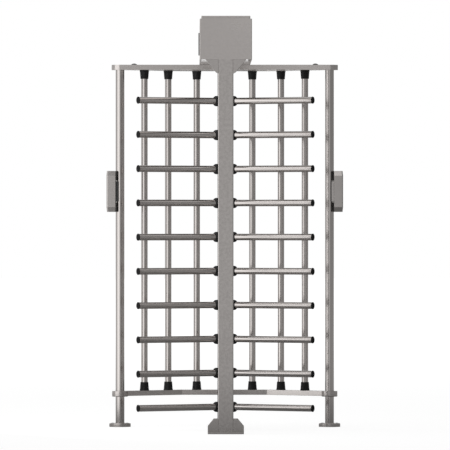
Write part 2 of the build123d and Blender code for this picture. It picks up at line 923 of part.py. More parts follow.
def plunger():
    """Left plunger with a rounded nose, drawn in."""
    straight = plunger_length - plunger_radius
    rod_part = Pos(plunger_radius + straight / 2, 0, 0) * Rot(0, 90, 0) * Cylinder(plunger_radius, straight)
    nose = Pos(plunger_radius, 0, 0) * Sphere(plunger_radius)
    return on_plunger_line(Pos(nose_offset, 0, 0) * (rod_part + nose))


def solenoid():
    """Left solenoid: coil case with a foot down to the plate."""
    front = nose_offset + solenoid_gap
    below = disc_bottom + disc_thickness / 2 - plate_top
    case = Pos(front + solenoid_length / 2, 0, 0) * Box(solenoid_length, solenoid_width, solenoid_height)
    foot_height = below - solenoid_height / 2
    foot_centre = -(solenoid_height + foot_height) / 2
    foot = Pos(front + solenoid_length / 2, 0, foot_centre) * Box(
        solenoid_foot_length, solenoid_width, foot_height
    )
    bore = Pos(front + solenoid_length / 2, 0, 0) * Rot(0, 90, 0) * Cylinder(
        plunger_radius + fit, solenoid_length
    )
    return on_plunger_line(case + foot - bore)


def flanged_pulley(radius, bore):
    """Flat belt pulley with a flange at each edge."""
    rim = pulley_flange_thickness
    body = rod(radius, 0, pulley_width)
    body += rod(radius + pulley_flange, 0, rim)
    body += rod(radius + pulley_flange, pulley_width - rim, pulley_width)
    return body - rod(bore, 0, pulley_width)


def rotor_pulley():
    return Pos(0, 0, pulley_bottom) * flanged_pulley(pulley_radius, spindle_radius + fit)


def motor_pulley():
    """Small pulley with the motor's shaft in it."""
    pulley = Pos(0, motor_distance, pulley_bottom) * flanged_pulley(motor_pulley_radius, fit)
    shaft_bottom = plate_top + motor_height / 2
    shaft_top = pulley_bottom + pulley_width
    return pulley + rod(motor_shaft_radius, shaft_bottom, shaft_top, 0, motor_distance)


def drive_motor():
    top = plate_top + motor_height
    body = rod(motor_radius, plate_top, top, 0, motor_distance)
    return body - rod(motor_shaft_radius + fit, plate_top + motor_height / 2, top, 0, motor_distance)


def belt_loop(gap, bottom, top):
    """Solid inside the belt's loop, a gap larger than the two pulleys."""
    large = pulley_radius + gap
    small = motor_pulley_radius + gap
    lean = (large - small) / motor_distance
    reach = (1 - lean**2) ** 0.5
    points = [
        (large * reach, large * lean),
        (small * reach, motor_distance + small * lean),
        (-small * reach, motor_distance + small * lean),
        (-large * reach, large * lean),
    ]
    ends = rod(large, bottom, top) + rod(small, bottom, top, 0, motor_distance)
    return prism(points, bottom, top) + ends


def drive_belt():
    bottom = pulley_bottom + pulley_flange_thickness + running_gap
    top = pulley_bottom + pulley_width - pulley_flange_thickness - running_gap
    return belt_loop(belt_gap + belt_thickness, bottom, top) - belt_loop(belt_gap, bottom, top)


def floor_box(size, y):
    """Closed case that stands on the head's floor."""
    width, length, height = size
    y_span = (y - length / 2, y + length / 2)
    return block((-width / 2, width / 2), y_span, (head_floor_top, head_floor_top + height))


# --- write the nodes ---------------------------------------------------------------------------

os.makedirs("parts", exist_ok=True)

save("comb_post", comb_post())
save("comb_base_plate", comb_base_plate())
save("comb_base_gussets", *comb_base_gussets())
save("comb_head_gussets", *comb_head_gussets())
save("comb_fingers", *comb_fingers())
save("comb_finger_caps", *comb_finger_caps())

bar_places_xy = bar_places()
save("guard_bars", *[pipe(arm_radius, tube_wall, rail_top, clear_height, x, y) for x, y in bar_places_xy])
save("lower_sleeves", *[Pos(x, y, rail_top) * sleeve() for x, y in bar_places_xy])
save("upper_sleeves", *[Pos(x, y, clear_height) * Rot(180, 0, 0) * sleeve() for x, y in bar_places_xy])
save("lower_rail", *bent_rail(lower_rail_bottom, collar_body()))
save("upper_rail", *bent_rail(clear_height, beam_outline(0, clear_height, head_bottom)))
save("top_beam", top_beam())
save("beam_caps", beam_cap(-beam_cap_x), beam_cap(beam_cap_x))
save("outer_post_left", outer_post(-1))
save("outer_post_right", outer_post(1))
save("post_flanges", post_flange(-1), post_flange(1))
save("rail_collars", mirrored(rail_collar()), rail_collar())

save("reader_shells", mirrored(reader_shell()), reader_shell())
save("reader_bases", mirrored(reader_base()), reader_base())
save("reader_clamps", mirrored(reader_clamp()), reader_clamp())

save("head_housing", head_housing())
save("head_floor", head_floor())
save("head_lid", head_lid())
save("hinge_leaves_fixed", *[hinge_leaf_fixed(station) for station in hinge_stations])
save("hinge_leaves_lid", *[hinge_leaf_lid(station) for station in hinge_stations])
save("hinge_pins", *[hinge_pin(station) for station in hinge_stations])
save("lock_barrel", lock_barrel())
save("lock_plug", lock_plug())
save("lock_cam", lock_cam())
save("lid_keeper", lid_keeper())
save("indicator_bezel", indicator_bezel())
save("indicator_lens", indicator_lens())
save("cable_gland", cable_gland())

save("rotor_column", rotor_column())
for wing_name, wing_angle in wing_angles.items():
    save(f"wing_arms_{wing_name}", *spread(wing_arm(), wing_angle))
save("arm_collars", *every_wing(arm_collar()))
save("arm_end_caps", *every_wing(arm_end_cap()))
save("spindle", spindle())
save("bearing_cup", bearing_cup())
save("lower_bearing", lower_bearing())
save("floor_plate", floor_plate())
save("pivot_pin", pivot_pin())

save("mechanism_plate", mechanism_plate())
save("upper_bearing_housing", upper_bearing_housing())
save("upper_bearing", upper_bearing())
save("lock_disc", lock_disc())
save("pawl_left", pawl())
save("pawl_right", mirrored(pawl()))
save("pawl_pins", pawl_pin(), mirrored(pawl_pin()))
save("plunger_left", plunger())
save("plunger_right", mirrored(plunger()))
save("solenoids", solenoid(), mirrored(solenoid()))
save("rotor_pulley", rotor_pulley())
save("motor_pulley", motor_pulley())
save("drive_motor", drive_motor())
save("drive_belt", drive_belt())
save("control_box", floor_box(control_box_size, control_box_y))
save("power_supply", floor_box(supply_size, supply_y))
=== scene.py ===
"""Looks of the full height turnstile: finishes, fine pieces, studio and camera round its frame."""

import logging
import math
from contextlib import contextmanager
from dataclasses import dataclass
from enum import Enum
from typing import Callable, Iterable, Iterator, Sequence

import bpy
from mathutils import Matrix, Vector


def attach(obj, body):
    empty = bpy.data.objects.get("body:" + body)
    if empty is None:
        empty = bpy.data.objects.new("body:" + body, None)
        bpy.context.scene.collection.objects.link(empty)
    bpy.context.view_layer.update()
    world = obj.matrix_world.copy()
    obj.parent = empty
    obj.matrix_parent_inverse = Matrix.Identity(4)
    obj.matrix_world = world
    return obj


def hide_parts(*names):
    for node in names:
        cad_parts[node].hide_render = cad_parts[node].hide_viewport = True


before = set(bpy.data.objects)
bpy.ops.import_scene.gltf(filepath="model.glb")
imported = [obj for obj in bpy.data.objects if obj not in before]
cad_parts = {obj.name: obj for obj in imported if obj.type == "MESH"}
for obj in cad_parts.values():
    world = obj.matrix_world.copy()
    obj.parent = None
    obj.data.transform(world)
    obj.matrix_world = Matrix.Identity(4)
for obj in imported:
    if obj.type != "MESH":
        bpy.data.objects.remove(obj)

log = logging.getLogger("turnstile")

Piece = bpy.types.Object
Socket = bpy.types.NodeSocket
Colour = tuple[float, float, float]
Point = Sequence[float]
Pair = tuple[float, float]
Profile = Sequence[Pair]
Rounding = tuple[float, int]
Where = Callable[[Vector], bool]
Test = Callable[[Vector, Vector], bool]

X, Y, Z = 0, 1, 2
SIDES = (-1, 1)
AXIS = (0.0, 0.0)  # where the rotor's axis stands
SQUARE = 0.9  # cosine above which a face or an edge counts as square to an axis
NEAR = 1e-4  # metres within which two heights count as the same
SAME = 1e-6  # metres within which two points are one
SHARP = 0.6  # radians from which an edge is bevelled

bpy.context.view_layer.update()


class Body(Enum):
    """Bodies of the turnstile that new pieces ride on."""

    FRAME = "frame"
    ROTOR = "rotor"
    DRIVE_SHAFT = "drive_shaft"
    LID = "lid"


class Grain(Enum):
    """Ways the brushing lines run: turn about Z in degrees, and stretch along each axis."""

    UPRIGHT = (0.0, (1.0, 1.0, 0.004))
    ALONG_X = (0.0, (0.004, 1.0, 1.0))
    ALONG_Y = (0.0, (1.0, 0.004, 1.0))
    LEVEL = (0.0, (0.004, 0.004, 1.0))
    LEFT_WING = (210.0, (0.004, 1.0, 1.0))
    RIGHT_WING = (330.0, (0.004, 1.0, 1.0))
    REAR_WING = (90.0, (0.004, 1.0, 1.0))


class Part(Enum):
    """Parts of a mesh that can be selected."""

    POINT = "VERT"
    EDGE = "EDGE"
    FACE = "FACE"


# --- nodes and shared effects ---

EFFECTS: dict[str, bpy.types.NodeTree] = {}


class Board:
    """One node tree while its nodes are placed and linked."""

    def __init__(self, tree: bpy.types.NodeTree) -> None:
        """Keep the tree that is worked on."""
        self.tree = tree

    def node(self, kind: str, inputs: dict | None = None, **settings: object) -> bpy.types.Node:
        """Add a node.

        Args:
            kind: Blender's name of the node type.
            inputs: Socket name or number to a value, or to the socket that feeds it.
            settings: Properties of the node.

        Returns:
            The new node.
        """
        node = self.tree.nodes.new(kind)
        for key, value in settings.items():
            setattr(node, key, value)
        for key, value in (inputs or {}).items():
            if isinstance(value, bpy.types.NodeSocket):
                self.tree.links.new(value, node.inputs[key])
            else:
                node.inputs[key].default_value = value
        return node

    def math(self, operation: str, first: object, second: object, clamp: bool = True) -> Socket:
        """Return the result of one Math node, kept between 0 and 1 unless clamp is False."""
        feeds = {0: first, 1: second}
        return self.node("ShaderNodeMath", feeds, operation=operation, use_clamp=clamp).outputs[0]

    def span(
        self, value: object, low: float, high: float, start: float = 0.0, end: float = 1.0
    ) -> Socket:
        """Return a value with its range low to high mapped onto start to end."""
        feeds = {"Value": value, "From Min": low, "From Max": high, "To Min": start, "To Max": end}
        return self.node("ShaderNodeMapRange", feeds, clamp=True).outputs["Result"]

    def mix(self, factor: object, first: object, second: object) -> Socket:
        """Return the colour between two colours."""
        feeds = {0: factor, 6: first, 7: second}
        return self.node("ShaderNodeMix", feeds, data_type="RGBA").outputs[2]

    def noise(self, place: object, scale: object, detail: float = 2.0) -> Socket:
        """Return the value of a noise texture."""
        feeds = {"Vector": place, "Scale": scale, "Detail": detail}
        return self.node("ShaderNodeTexNoise", feeds).outputs[0]

    def effect(self, name: str, **inputs: object) -> Socket:
        """Return the output of a shared effect."""
        return self.node("ShaderNodeGroup", inputs, node_tree=EFFECTS[name]).outputs[0]


def empty_board(owner: bpy.types.Material | bpy.types.World) -> Board:
    """Clear the node tree of a material or world.

    Args:
        owner: Material or world.

    Returns:
        The board of its empty tree.
    """
    owner.use_nodes = True
    owner.node_tree.nodes.clear()
    return Board(owner.node_tree)


class Effect(Board):
    """Shader node group that finishes share: numbers and a place in, one number out."""

    def __init__(self, name: str, output: str, **inputs: float | None) -> None:
        """Start the group with its sockets.

        Args:
            name: Name of the effect.
            output: Name of the number that it gives.
            inputs: Input names with their default number, or None for a place.
        """
        super().__init__(bpy.data.node_groups.new(name, "ShaderNodeTree"))
        for key, value in inputs.items():
            kind = "NodeSocketVector" if value is None else "NodeSocketFloat"
            socket = self.tree.interface.new_socket(key, in_out="INPUT", socket_type=kind)
            if value is not None:
                socket.default_value = value
        self.tree.interface.new_socket(output, in_out="OUTPUT", socket_type="NodeSocketFloat")
        self.given = self.node("NodeGroupInput").outputs
        self.place = self.given["Place"]
        EFFECTS[name] = self.tree

    def give(self, result: Socket) -> None:
        """Put out the result."""
        self.tree.links.new(result, self.node("NodeGroupOutput").inputs[0])


def brushing_effect() -> None:
    """Fine and broad lines of a brushed surface."""
    effect = Effect("brushing", "Streak", Place=None, Lines=900.0)
    lines = effect.given["Lines"]
    fine = effect.noise(effect.place, lines, 3.0)
    broad = effect.noise(effect.place, effect.math("MULTIPLY", lines, 0.12, clamp=False))
    soft = effect.math("MULTIPLY", broad, 0.4, clamp=False)
    effect.give(effect.span(effect.math("ADD", fine, soft, clamp=False), 0.4, 1.0))


def handling_effect() -> None:
    """Soft patches where hands and cloths have been."""
    effect = Effect("handling", "Patch", Place=None, Size=9.0)
    effect.give(effect.span(effect.noise(effect.place, effect.given["Size"], 2.5), 0.42, 0.72))


def edge_effect() -> None:
    """Rubbed edges: high on sharp outer edges, broken up by noise."""
    effect = Effect("rubbed_edge", "Edge", Place=None, Amount=0.5)
    sharp = effect.node("ShaderNodeNewGeometry").outputs["Pointiness"]
    broken = effect.span(effect.noise(effect.place, 60.0, 4.0), 0.35, 0.6)
    edge = effect.math("MULTIPLY", effect.span(sharp, 0.515, 0.58), broken)
    effect.give(effect.math("MULTIPLY", edge, effect.given["Amount"]))


def dust_effect() -> None:
    """Floor dust that gathers on the lowest part of upright pieces."""
    effect = Effect("floor_dust", "Dust", Place=None, Reach=0.05)
    height = effect.node("ShaderNodeSeparateXYZ", {0: effect.place}).outputs["Z"]
    share = effect.math("DIVIDE", height, effect.given["Reach"], clamp=False)
    low = effect.math("SUBTRACT", 1.0, share)
    specks = effect.span(effect.noise(effect.place, 38.0, 6.0), 0.3, 0.75)
    effect.give(effect.math("MULTIPLY", low, specks))


def pitting_effect() -> None:
    """Fine spark-eroded or cast texture."""
    effect = Effect("pitting", "Height", Place=None, Grit=700.0)
    effect.give(effect.span(effect.noise(effect.place, effect.given["Grit"], 3.0), 0.3, 0.7))


# --- finishes ---

DUST: Colour = (0.33, 0.3, 0.27)
DUST_ROUGHNESS = 0.35
BUMP_STRENGTH = 0.35
EDGE_GAIN = 1.35
EDGE_LIFT = 0.05


@dataclass(frozen=True)
class Finish:
    """What all finishes share: a name, a colour, a gloss, a relief and a little wear.

    The relief is depth metres deep and shifts the colour by tone and the roughness by gloss.
    The slot names the record's material slot for new pieces with this finish; nothing here reads
    it.
    """

    name: str
    colour: Colour
    roughness: float = 0.4
    slot: str = ""
    metallic: float = 1.0
    specular: float = 0.5
    handled: float = 0.03
    rubbed: float = 0.0
    dusty: float = 0.0
    coat: float = 0.0
    depth: float = 0.00002
    tone: float = 0.04
    gloss: float = 0.05
    grit: float = 600.0

    def relief(self, board: Board, place: Socket) -> Socket:
        """Return the height of a fine mould or casting texture."""
        return board.effect("pitting", Place=place, Grit=self.grit)

    def tint(self, gain: float, lift: float = 0.0) -> tuple[float, float, float, float]:
        """Return this colour times a gain, plus a lift."""
        return (*(min(1.0, channel * gain + lift) for channel in self.colour), 1.0)

    def material(self) -> bpy.types.Material:
        """Build the material, or find it where it has been built.

        Returns:
            The material.
        """
        found = bpy.data.materials.get(self.name)
        if found:
            return found
        made = bpy.data.materials.new(self.name)
        board = empty_board(made)
        place = board.node("ShaderNodeTexCoord").outputs["Object"]
        height = self.relief(board, place)
        colour = board.mix(height, self.tint(1 - self.tone), self.tint(1 + self.tone))
        if self.rubbed:
            edge = board.effect("rubbed_edge", Place=place, Amount=self.rubbed)
            colour = board.mix(edge, colour, self.tint(EDGE_GAIN, EDGE_LIFT))
        patch = board.effect("handling", Place=place)
        low, high = self.roughness - self.gloss, self.roughness + self.gloss
        rough = board.span(height, 0.0, 1.0, low, high)
        rough = board.math("ADD", rough, board.math("MULTIPLY", patch, self.handled))
        if self.dusty:
            dust = board.math("MULTIPLY", board.effect("floor_dust", Place=place), self.dusty)
            colour = board.mix(dust, colour, (*DUST, 1.0))
            rough = board.math("ADD", rough, board.math("MULTIPLY", dust, DUST_ROUGHNESS))
        relief = {"Height": height, "Strength": BUMP_STRENGTH, "Distance": self.depth}
        feeds = {
            "Base Color": colour,
            "Metallic": self.metallic,
            "Roughness": rough,
            "Specular IOR Level": self.specular,
            "Normal": board.node("ShaderNodeBump", relief).outputs[0],
            "Coat Weight": self.coat,
        }
        shader = board.node("ShaderNodeBsdfPrincipled", feeds)
        board.node("ShaderNodeOutputMaterial", {"Surface": shader.outputs[0]})
        return made


@dataclass(frozen=True)
class Brushed(Finish):
    """Brushed or linear-polished metal, most of it stainless steel."""

    slot: str = "stainless_sheet"
    depth: float = 0.000004
    tone: float = 0.018
    gloss: float = 0.012
    grain: Grain = Grain.UPRIGHT
    lines: float = 900.0

    def relief(self, board: Board, place: Socket) -> Socket:
        """Draw lines that run with the grain.

        Args:
            board: Node tree of the material.
            place: Object coordinates.

        Returns:
            Height of the lines.
        """
        turn, stretch = self.grain.value
        feeds = {"Vector": place, "Rotation": (0.0, 0.0, math.radians(turn))}
        run = board.node("ShaderNodeMapping", feeds, vector_type="TEXTURE")
        drawn = board.node("ShaderNodeMapping", {"Vector": run.outputs[0], "Scale": stretch})
        return board.effect("brushing", Place=drawn.outputs[0], Lines=self.lines)


@dataclass(frozen=True)
class Turned(Finish):
    """Metal with fine rings from the lathe, about the rotor's axis."""

    depth: float = 0.00001
    tone: float = 0.06
    gloss: float = 0.04
    pitch: float = 260.0

    def relief(self, board: Board, place: Socket) -> Socket:
        """Return the height of the rings."""
        feeds = {"Vector": place, "Scale": self.pitch, "Distortion": 1.2, "Detail": 2.0}
        return board.node(
            "ShaderNodeTexWave", feeds, wave_type="RINGS", rings_direction="Z"
        ).outputs["Fac"]


@dataclass(frozen=True)
class Moulded(Finish):
    """Rubber, plastic or coated metal with the texture of its mould or casting."""

    metallic: float = 0.0
    depth: float = 0.00003
    tone: float = 0.12
    gloss: float = 0.06
    grit: float = 700.0


@dataclass(frozen=True)
class Plated(Moulded):
    """Metal with the same kind of texture."""

    metallic: float = 1.0


@dataclass(frozen=True)
class Lamp(Finish):
    """Small light-emitting dot or bar behind a clear skin."""

    slot: str = "smoked_lens"
    metallic: float = 0.0
    glow: float = 0.4

    def material(self) -> bpy.types.Material:
        """Add a faint glow of its own colour to the skin.

        Returns:
            The material.
        """
        made = super().material()
        shader = next(node for node in made.node_tree.nodes if node.type == "BSDF_PRINCIPLED")
        shader.inputs["Emission Color"].default_value = (*self.colour, 1.0)
        shader.inputs["Emission Strength"].default_value = self.glow
        return made


STEEL: Colour = (0.56, 0.528, 0.51)
# The comb post and its gussets: the same stainless steel as STEEL, made darker, painted shade.
SHADED_POST_STEEL: Colour = (0.5, 0.472, 0.456)
# The reader covers and clamp cheeks: the same stainless steel, darker still, painted shade.
SHADED_READER_STEEL: Colour = (0.475, 0.449, 0.434)
FINE = 0.0000015

SHADED_SHEET_POST = Brushed("brushed_sheet_post_painted_shade", SHADED_POST_STEEL, 0.24, rubbed=0.3, dusty=0.25)
SHADED_SHEET_READER = Brushed("brushed_sheet_reader_painted_shade", SHADED_READER_STEEL, 0.24, rubbed=0.3)
SHEET_LEVEL = Brushed("brushed_sheet_level", STEEL, 0.24, rubbed=0.3, grain=Grain.LEVEL)
SHEET_LID = Brushed("brushed_sheet_lid", STEEL, 0.24, rubbed=0.3, grain=Grain.ALONG_Y)
SHEET_BEAM = Brushed("brushed_beam", STEEL, 0.22, rubbed=0.2, grain=Grain.ALONG_X)
TUBE_UPRIGHT = Brushed(
    "polished_tube_upright", STEEL, 0.14, dusty=0.2, handled=0.01, lines=1300.0, depth=FINE
)
TUBE_FINGER = Brushed("polished_tube_finger", STEEL, 0.13, grain=Grain.ALONG_Y, depth=FINE)
TUBE_LEFT = Brushed("polished_tube_left_wing", STEEL, 0.12, grain=Grain.LEFT_WING, depth=FINE)
TUBE_RIGHT = Brushed("polished_tube_right_wing", STEEL, 0.12, grain=Grain.RIGHT_WING, depth=FINE)
TUBE_REAR = Brushed("polished_tube_rear_wing", STEEL, 0.12, grain=Grain.REAR_WING, depth=FINE)
# The head's underside: a lighter copy of the steel colour so that it reads bright, painted sheen.
UNDERSIDE_SHEET_PAINTED_SHEEN = Brushed("polished_sheet_underside_painted_sheen", (0.7, 0.68, 0.665), 0.08, grain=Grain.ALONG_Y)
ALLOY = Brushed("folded_aluminium", (0.66, 0.67, 0.68), 0.3, "aluminium_case", grain=Grain.ALONG_X)
WELD = Plated("brushed_weld", (0.5, 0.47, 0.45), 0.34, "stainless_sheet", grit=260.0, depth=0.0002)
ZINC = Plated("zinc_plate", (0.6, 0.61, 0.63), 0.34, "zinc_steel", grit=120.0, depth=0.00001)
COPPER = Plated("enamelled_winding", (0.5, 0.2, 0.07), 0.35, "bronze", grit=200.0)
RUBBER = Moulded(
    "moulded_rubber", (0.009, 0.009, 0.0095), 0.5, "black_rubber", specular=0.35, grit=500.0
)
CAP_RUBBER = Moulded(
    "cap_rubber", (0.008, 0.008, 0.0082), 0.62, "black_rubber", specular=0.14, grit=500.0
)
BELT = Moulded("belt_rubber", (0.016, 0.016, 0.017), 0.6, grit=900.0)
CASE_PLASTIC = Moulded("black_case_plastic", (0.022, 0.019, 0.017), 0.5, "black_plastic")
GREY_PLASTIC = Moulded("grey_clamp_plastic", (0.05, 0.052, 0.052), 0.48)
DARK_PLASTIC = Moulded(
    "dark_surround_plastic", (0.03, 0.031, 0.032), 0.7, "grey_plastic", specular=0.12
)
# Pale colour of the clamp gap spacers: painted light for the background seen through those gaps.
GAP_LIGHT_NYLON = Moulded("pale_nylon_painted_gap_light", (0.86, 0.85, 0.81), 0.4, "grey_plastic")
LENS = Moulded(
    "smoked_lens", (0.012, 0.012, 0.014), 0.1, "smoked_lens", handled=0.08, coat=0.6, depth=0.000001
)
CAST = Moulded(
    "painted_casting", (0.16, 0.17, 0.18), 0.52, "cast_grey", grit=420.0, depth=0.00012, rubbed=0.25
)
POWDER = Moulded(
    "powder_coat", (0.5, 0.53, 0.55), 0.42, "painted_case", grit=340.0, depth=0.00006, rubbed=0.2
)
MACHINED = Turned("machined_steel", (0.6, 0.6, 0.61), 0.24, "machined_steel")
BRONZE = Turned("bearing_bronze", (0.5, 0.33, 0.16), 0.3)
PULLEY = Turned("turned_aluminium", (0.72, 0.73, 0.74), 0.26)
NICKEL = Turned("nickel_plate", (0.62, 0.6, 0.55), 0.2, "nickel_brass")
GREEN_LAMP = Lamp("green_lamp", (0.02, 0.5, 0.1), 0.3)
RED_LAMP = Lamp("red_lamp", (0.55, 0.02, 0.015), 0.3)
BLUE_LAMP = Lamp("blue_lamp", (0.05, 0.2, 0.7), 0.3)


# --- bench tools ---


def runs(axis: int, where: Where | None = None) -> Test:
    """Make a test for edges that run along an axis, and for where their middle is."""
    return lambda spot, way: abs(way[axis]) > SQUARE and (where is None or where(spot))


def looks(axis: int, sign: int = 1, where: Where | None = None) -> Test:
    """Make a test for faces that look along an axis, or against it, and for where they are."""
    return lambda spot, way: way[axis] * sign > SQUARE and (where is None or where(spot))


def at(x: float, y: float, z: float, turn: float = 0.0) -> Matrix:
    """Place for an upright piece, turned about Z in degrees."""
    return Matrix.Translation((x, y, z)) @ Matrix.Rotation(math.radians(turn), 4, "Z")


def facing(point: Point, direction: Point) -> Matrix:
    """Place for a piece made on Z that stands out along a direction."""
    turn = Vector(direction).to_track_quat("Z", "Y").to_matrix().to_4x4()
    return Matrix.Translation(point) @ turn


def circle(
    centre: Pair, radius: float, z: float, count: int, start: float, twist: float = 31.0
) -> list[Matrix]:
    """Space places evenly on a level circle.

    Args:
        centre: X and Y of its centre.
        radius: Its radius.
        z: Its height.
        count: Number of places.
        start: Angle of the first place in degrees.
        twist: Turn of each piece against the one before, in degrees.

    Returns:
        The places.
    """
    places = []
    for index in range(count):
        turn = math.radians(start + 360 * index / count)
        x, y = centre[X] + radius * math.cos(turn), centre[Y] + radius * math.sin(turn)
        places.append(at(x, y, z, twist * index))
    return places


def pick(*pieces: Piece) -> None:
    """Select pieces alone.

    Args:
        pieces: Pieces to select, the first one to be active.
    """
    bpy.ops.object.select_all(action="DESELECT")
    for piece in pieces:
        piece.select_set(True)
    bpy.context.view_layer.objects.active = pieces[0]


@contextmanager
def editing(piece: Piece, part: Part = Part.POINT, test: Test | None = None) -> Iterator[None]:
    """Hold a piece in edit mode with a selection.

    Args:
        piece: Piece that is edited.
        part: Parts that are selected.
        test: Takes a face's centre and normal, or an edge's middle and direction; all without it.

    Yields:
        Nothing; edit mode is left afterwards.
    """
    pick(piece)
    bpy.context.tool_settings.mesh_select_mode = [part is each for each in Part]
    bpy.ops.object.mode_set(mode="EDIT")
    bpy.ops.mesh.select_all(action="DESELECT" if test else "SELECT")
    if test:
        bpy.ops.object.mode_set(mode="OBJECT")
        points = piece.data.vertices
        for face in piece.data.polygons if part is Part.FACE else ():
            face.select = test(face.center, face.normal)
        for edge in piece.data.edges if part is Part.EDGE else ():
            a, b = (points[index].co for index in edge.vertices)
            edge.select = test((a + b) / 2, (b - a).normalized())
        bpy.ops.object.mode_set(mode="EDIT")
    yield
    bpy.ops.object.mode_set(mode="OBJECT")


def settle(piece: Piece, place: Matrix | None = None) -> Piece:
    """Put a piece's place, turn and scale into its mesh.

    Args:
        piece: Piece to settle.
        place: Where it goes first, if it isn't there yet.

    Returns:
        The piece.
    """
    if place is not None:
        piece.matrix_world = place
    pick(piece)
    bpy.ops.object.transform_apply(location=True, rotation=True, scale=True)
    return piece


def block(name: str, low: Point, high: Point) -> Piece:
    """Make a block, the start of most sheet and plate pieces.

    Args:
        name: Piece name.
        low: Lowest corner.
        high: Highest corner.

    Returns:
        The piece.
    """
    bpy.ops.object.select_all(action="DESELECT")
    middle = [(a + b) / 2 for a, b in zip(low, high)]
    bpy.ops.mesh.primitive_cube_add(size=1.0, location=middle)
    piece = bpy.context.object
    piece.name = name
    piece.scale = [b - a for a, b in zip(low, high)]
    return settle(piece)


def rounded_block(
    name: str, low: Point, high: Point, axis: int, corner: Rounding, edge: Rounding
) -> Piece:
    """Make a block with four rounded corners.

    Args:
        name: Piece name.
        low: Lowest corner.
        high: Highest corner.
        axis: Axis that the rounded corners run along.
        corner: Width and segments of these corners.
        edge: Width and segments of all other edges.

    Returns:
        The piece.
    """
    piece = block(name, low, high)
    round_edges(piece, runs(axis), *corner)
    return bevel(piece, *edge)


def turned(name: str, rings: Profile, sides: int = 32, bored: bool = False) -> Piece:
    """Turned piece about Z, drawn up ring by ring from a first disc or hoop.

    Args:
        name: Piece name.
        rings: Radius and height of each ring, outer side upwards; a bored piece ends on its first.
        sides: Number of facets round the axis.
        bored: True for a hoop with a hole through it.

    Returns:
        The piece, with its axis on Z.
    """
    bpy.ops.object.select_all(action="DESELECT")
    fill = "NOTHING" if bored else "NGON"
    radius, height = rings[0]
    bpy.ops.mesh.primitive_circle_add(
        vertices=sides, radius=radius, fill_type=fill, location=(0, 0, height)
    )
    piece = settle(bpy.context.object)
    piece.name = name
    with editing(piece):
        for (r0, z0), (r1, z1) in zip(rings, rings[1:]):
            bpy.ops.mesh.extrude_region_move(TRANSFORM_OT_translate={"value": (0, 0, z1 - z0)})
            if r1 != r0:
                share = r1 / r0
                bpy.ops.transform.resize(value=(share, share, 1), center_override=(0, 0, z1))
        bpy.ops.mesh.select_all(action="SELECT")
        bpy.ops.mesh.remove_doubles(threshold=SAME)
        bpy.ops.mesh.normals_make_consistent(inside=False)
    return piece


def round_edges(piece: Piece, test: Test, width: float, segments: int = 4) -> None:
    """Round the edges that pass a test."""
    with editing(piece, Part.EDGE, test):
        bpy.ops.mesh.bevel(offset=width, segments=segments, affect="EDGES")


def press(piece: Piece, test: Test, inset: float, move: Point) -> None:
    """Inset faces and push or pull them.

    Args:
        piece: Piece that is edited.
        test: Tells the faces.
        inset: Width of the rim that stays where it is; 0 for none.
        move: How far the faces go.
    """
    with editing(piece, Part.FACE, test):
        if inset:
            bpy.ops.mesh.inset(thickness=inset, depth=0.0)
        bpy.ops.mesh.extrude_region_move(TRANSFORM_OT_translate={"value": move})


def cut_away(piece: Piece, test: Test) -> None:
    """Cut away the faces that pass a test."""
    with editing(piece, Part.FACE, test):
        bpy.ops.mesh.delete(type="FACE")


def cut(piece: Piece, point: Point, normal: Point, part: bool = True) -> None:
    """Saw a piece along a plane.

    Args:
        piece: Piece that is cut.
        point: Point on the plane.
        normal: Direction of the side that falls off.
        part: False to keep both sides, joined, with new edges on the plane.
    """
    across = Vector(normal).normalized()
    with editing(piece):
        bpy.ops.mesh.bisect(plane_co=point, plane_no=across, use_fill=part, clear_outer=part)
    clean(piece)


def score(piece: Piece, axis: int, *places: float) -> None:
    """Draw new edges round a piece on planes square to an axis.

    Args:
        piece: Piece that is scored.
        axis: The axis.
        places: Where the planes cross it.
    """
    for place in places:
        normal = Vector([float(axis == each) for each in (X, Y, Z)])
        cut(piece, normal * place, normal, part=False)


def clean(piece: Piece) -> None:
    """Merge doubled points and remove slivers."""
    with editing(piece):
        bpy.ops.mesh.dissolve_degenerate(threshold=2 * SAME)


def finish_with(piece: Piece, kind: str, **settings: object) -> Piece:
    """Add a modifier and apply it.

    Args:
        piece: Piece that is changed.
        kind: Blender's name of the modifier type.
        settings: Properties of the modifier.

    Returns:
        The piece.
    """
    modifier = piece.modifiers.new(kind.lower(), kind)
    for key, value in settings.items():
        setattr(modifier, key, value)
    pick(piece)
    bpy.ops.object.modifier_apply(modifier=modifier.name)
    return piece


def bevel(piece: Piece, width: float, segments: int = 2) -> Piece:
    """Break all sharp edges."""
    settings = {"width": width, "segments": segments, "limit_method": "ANGLE", "angle_limit": SHARP}
    return finish_with(piece, "BEVEL", **settings)


def thicken(piece: Piece, sheet: float) -> None:
    """Give an open surface the thickness of its sheet, inwards."""
    finish_with(piece, "SOLIDIFY", thickness=sheet, offset=-1.0, use_even_offset=True)


def drill_through(piece: Piece, radius: float, reach: float, place: Matrix, sides: int) -> None:
    """Drill a round hole through a piece.

    Args:
        piece: Piece that is drilled.
        radius: Radius of the hole.
        reach: How far the drill goes to either side of its place.
        place: Where the drill stands, its axis along Z there.
        sides: Number of facets round the hole.
    """
    drill = settle(turned("drill", [(radius, -reach), (radius, reach)], sides), place)
    finish_with(piece, "BOOLEAN", object=drill, operation="DIFFERENCE", solver="EXACT")
    bpy.data.objects.remove(drill)


def copied(piece: Piece, matrix: Matrix) -> Piece:
    """Copy a piece with its own mesh.

    Args:
        piece: Piece that is copied.
        matrix: Place of the copy.

    Returns:
        The copy.
    """
    pick(piece)
    bpy.ops.object.duplicate(linked=False)
    return settle(bpy.context.object, matrix)


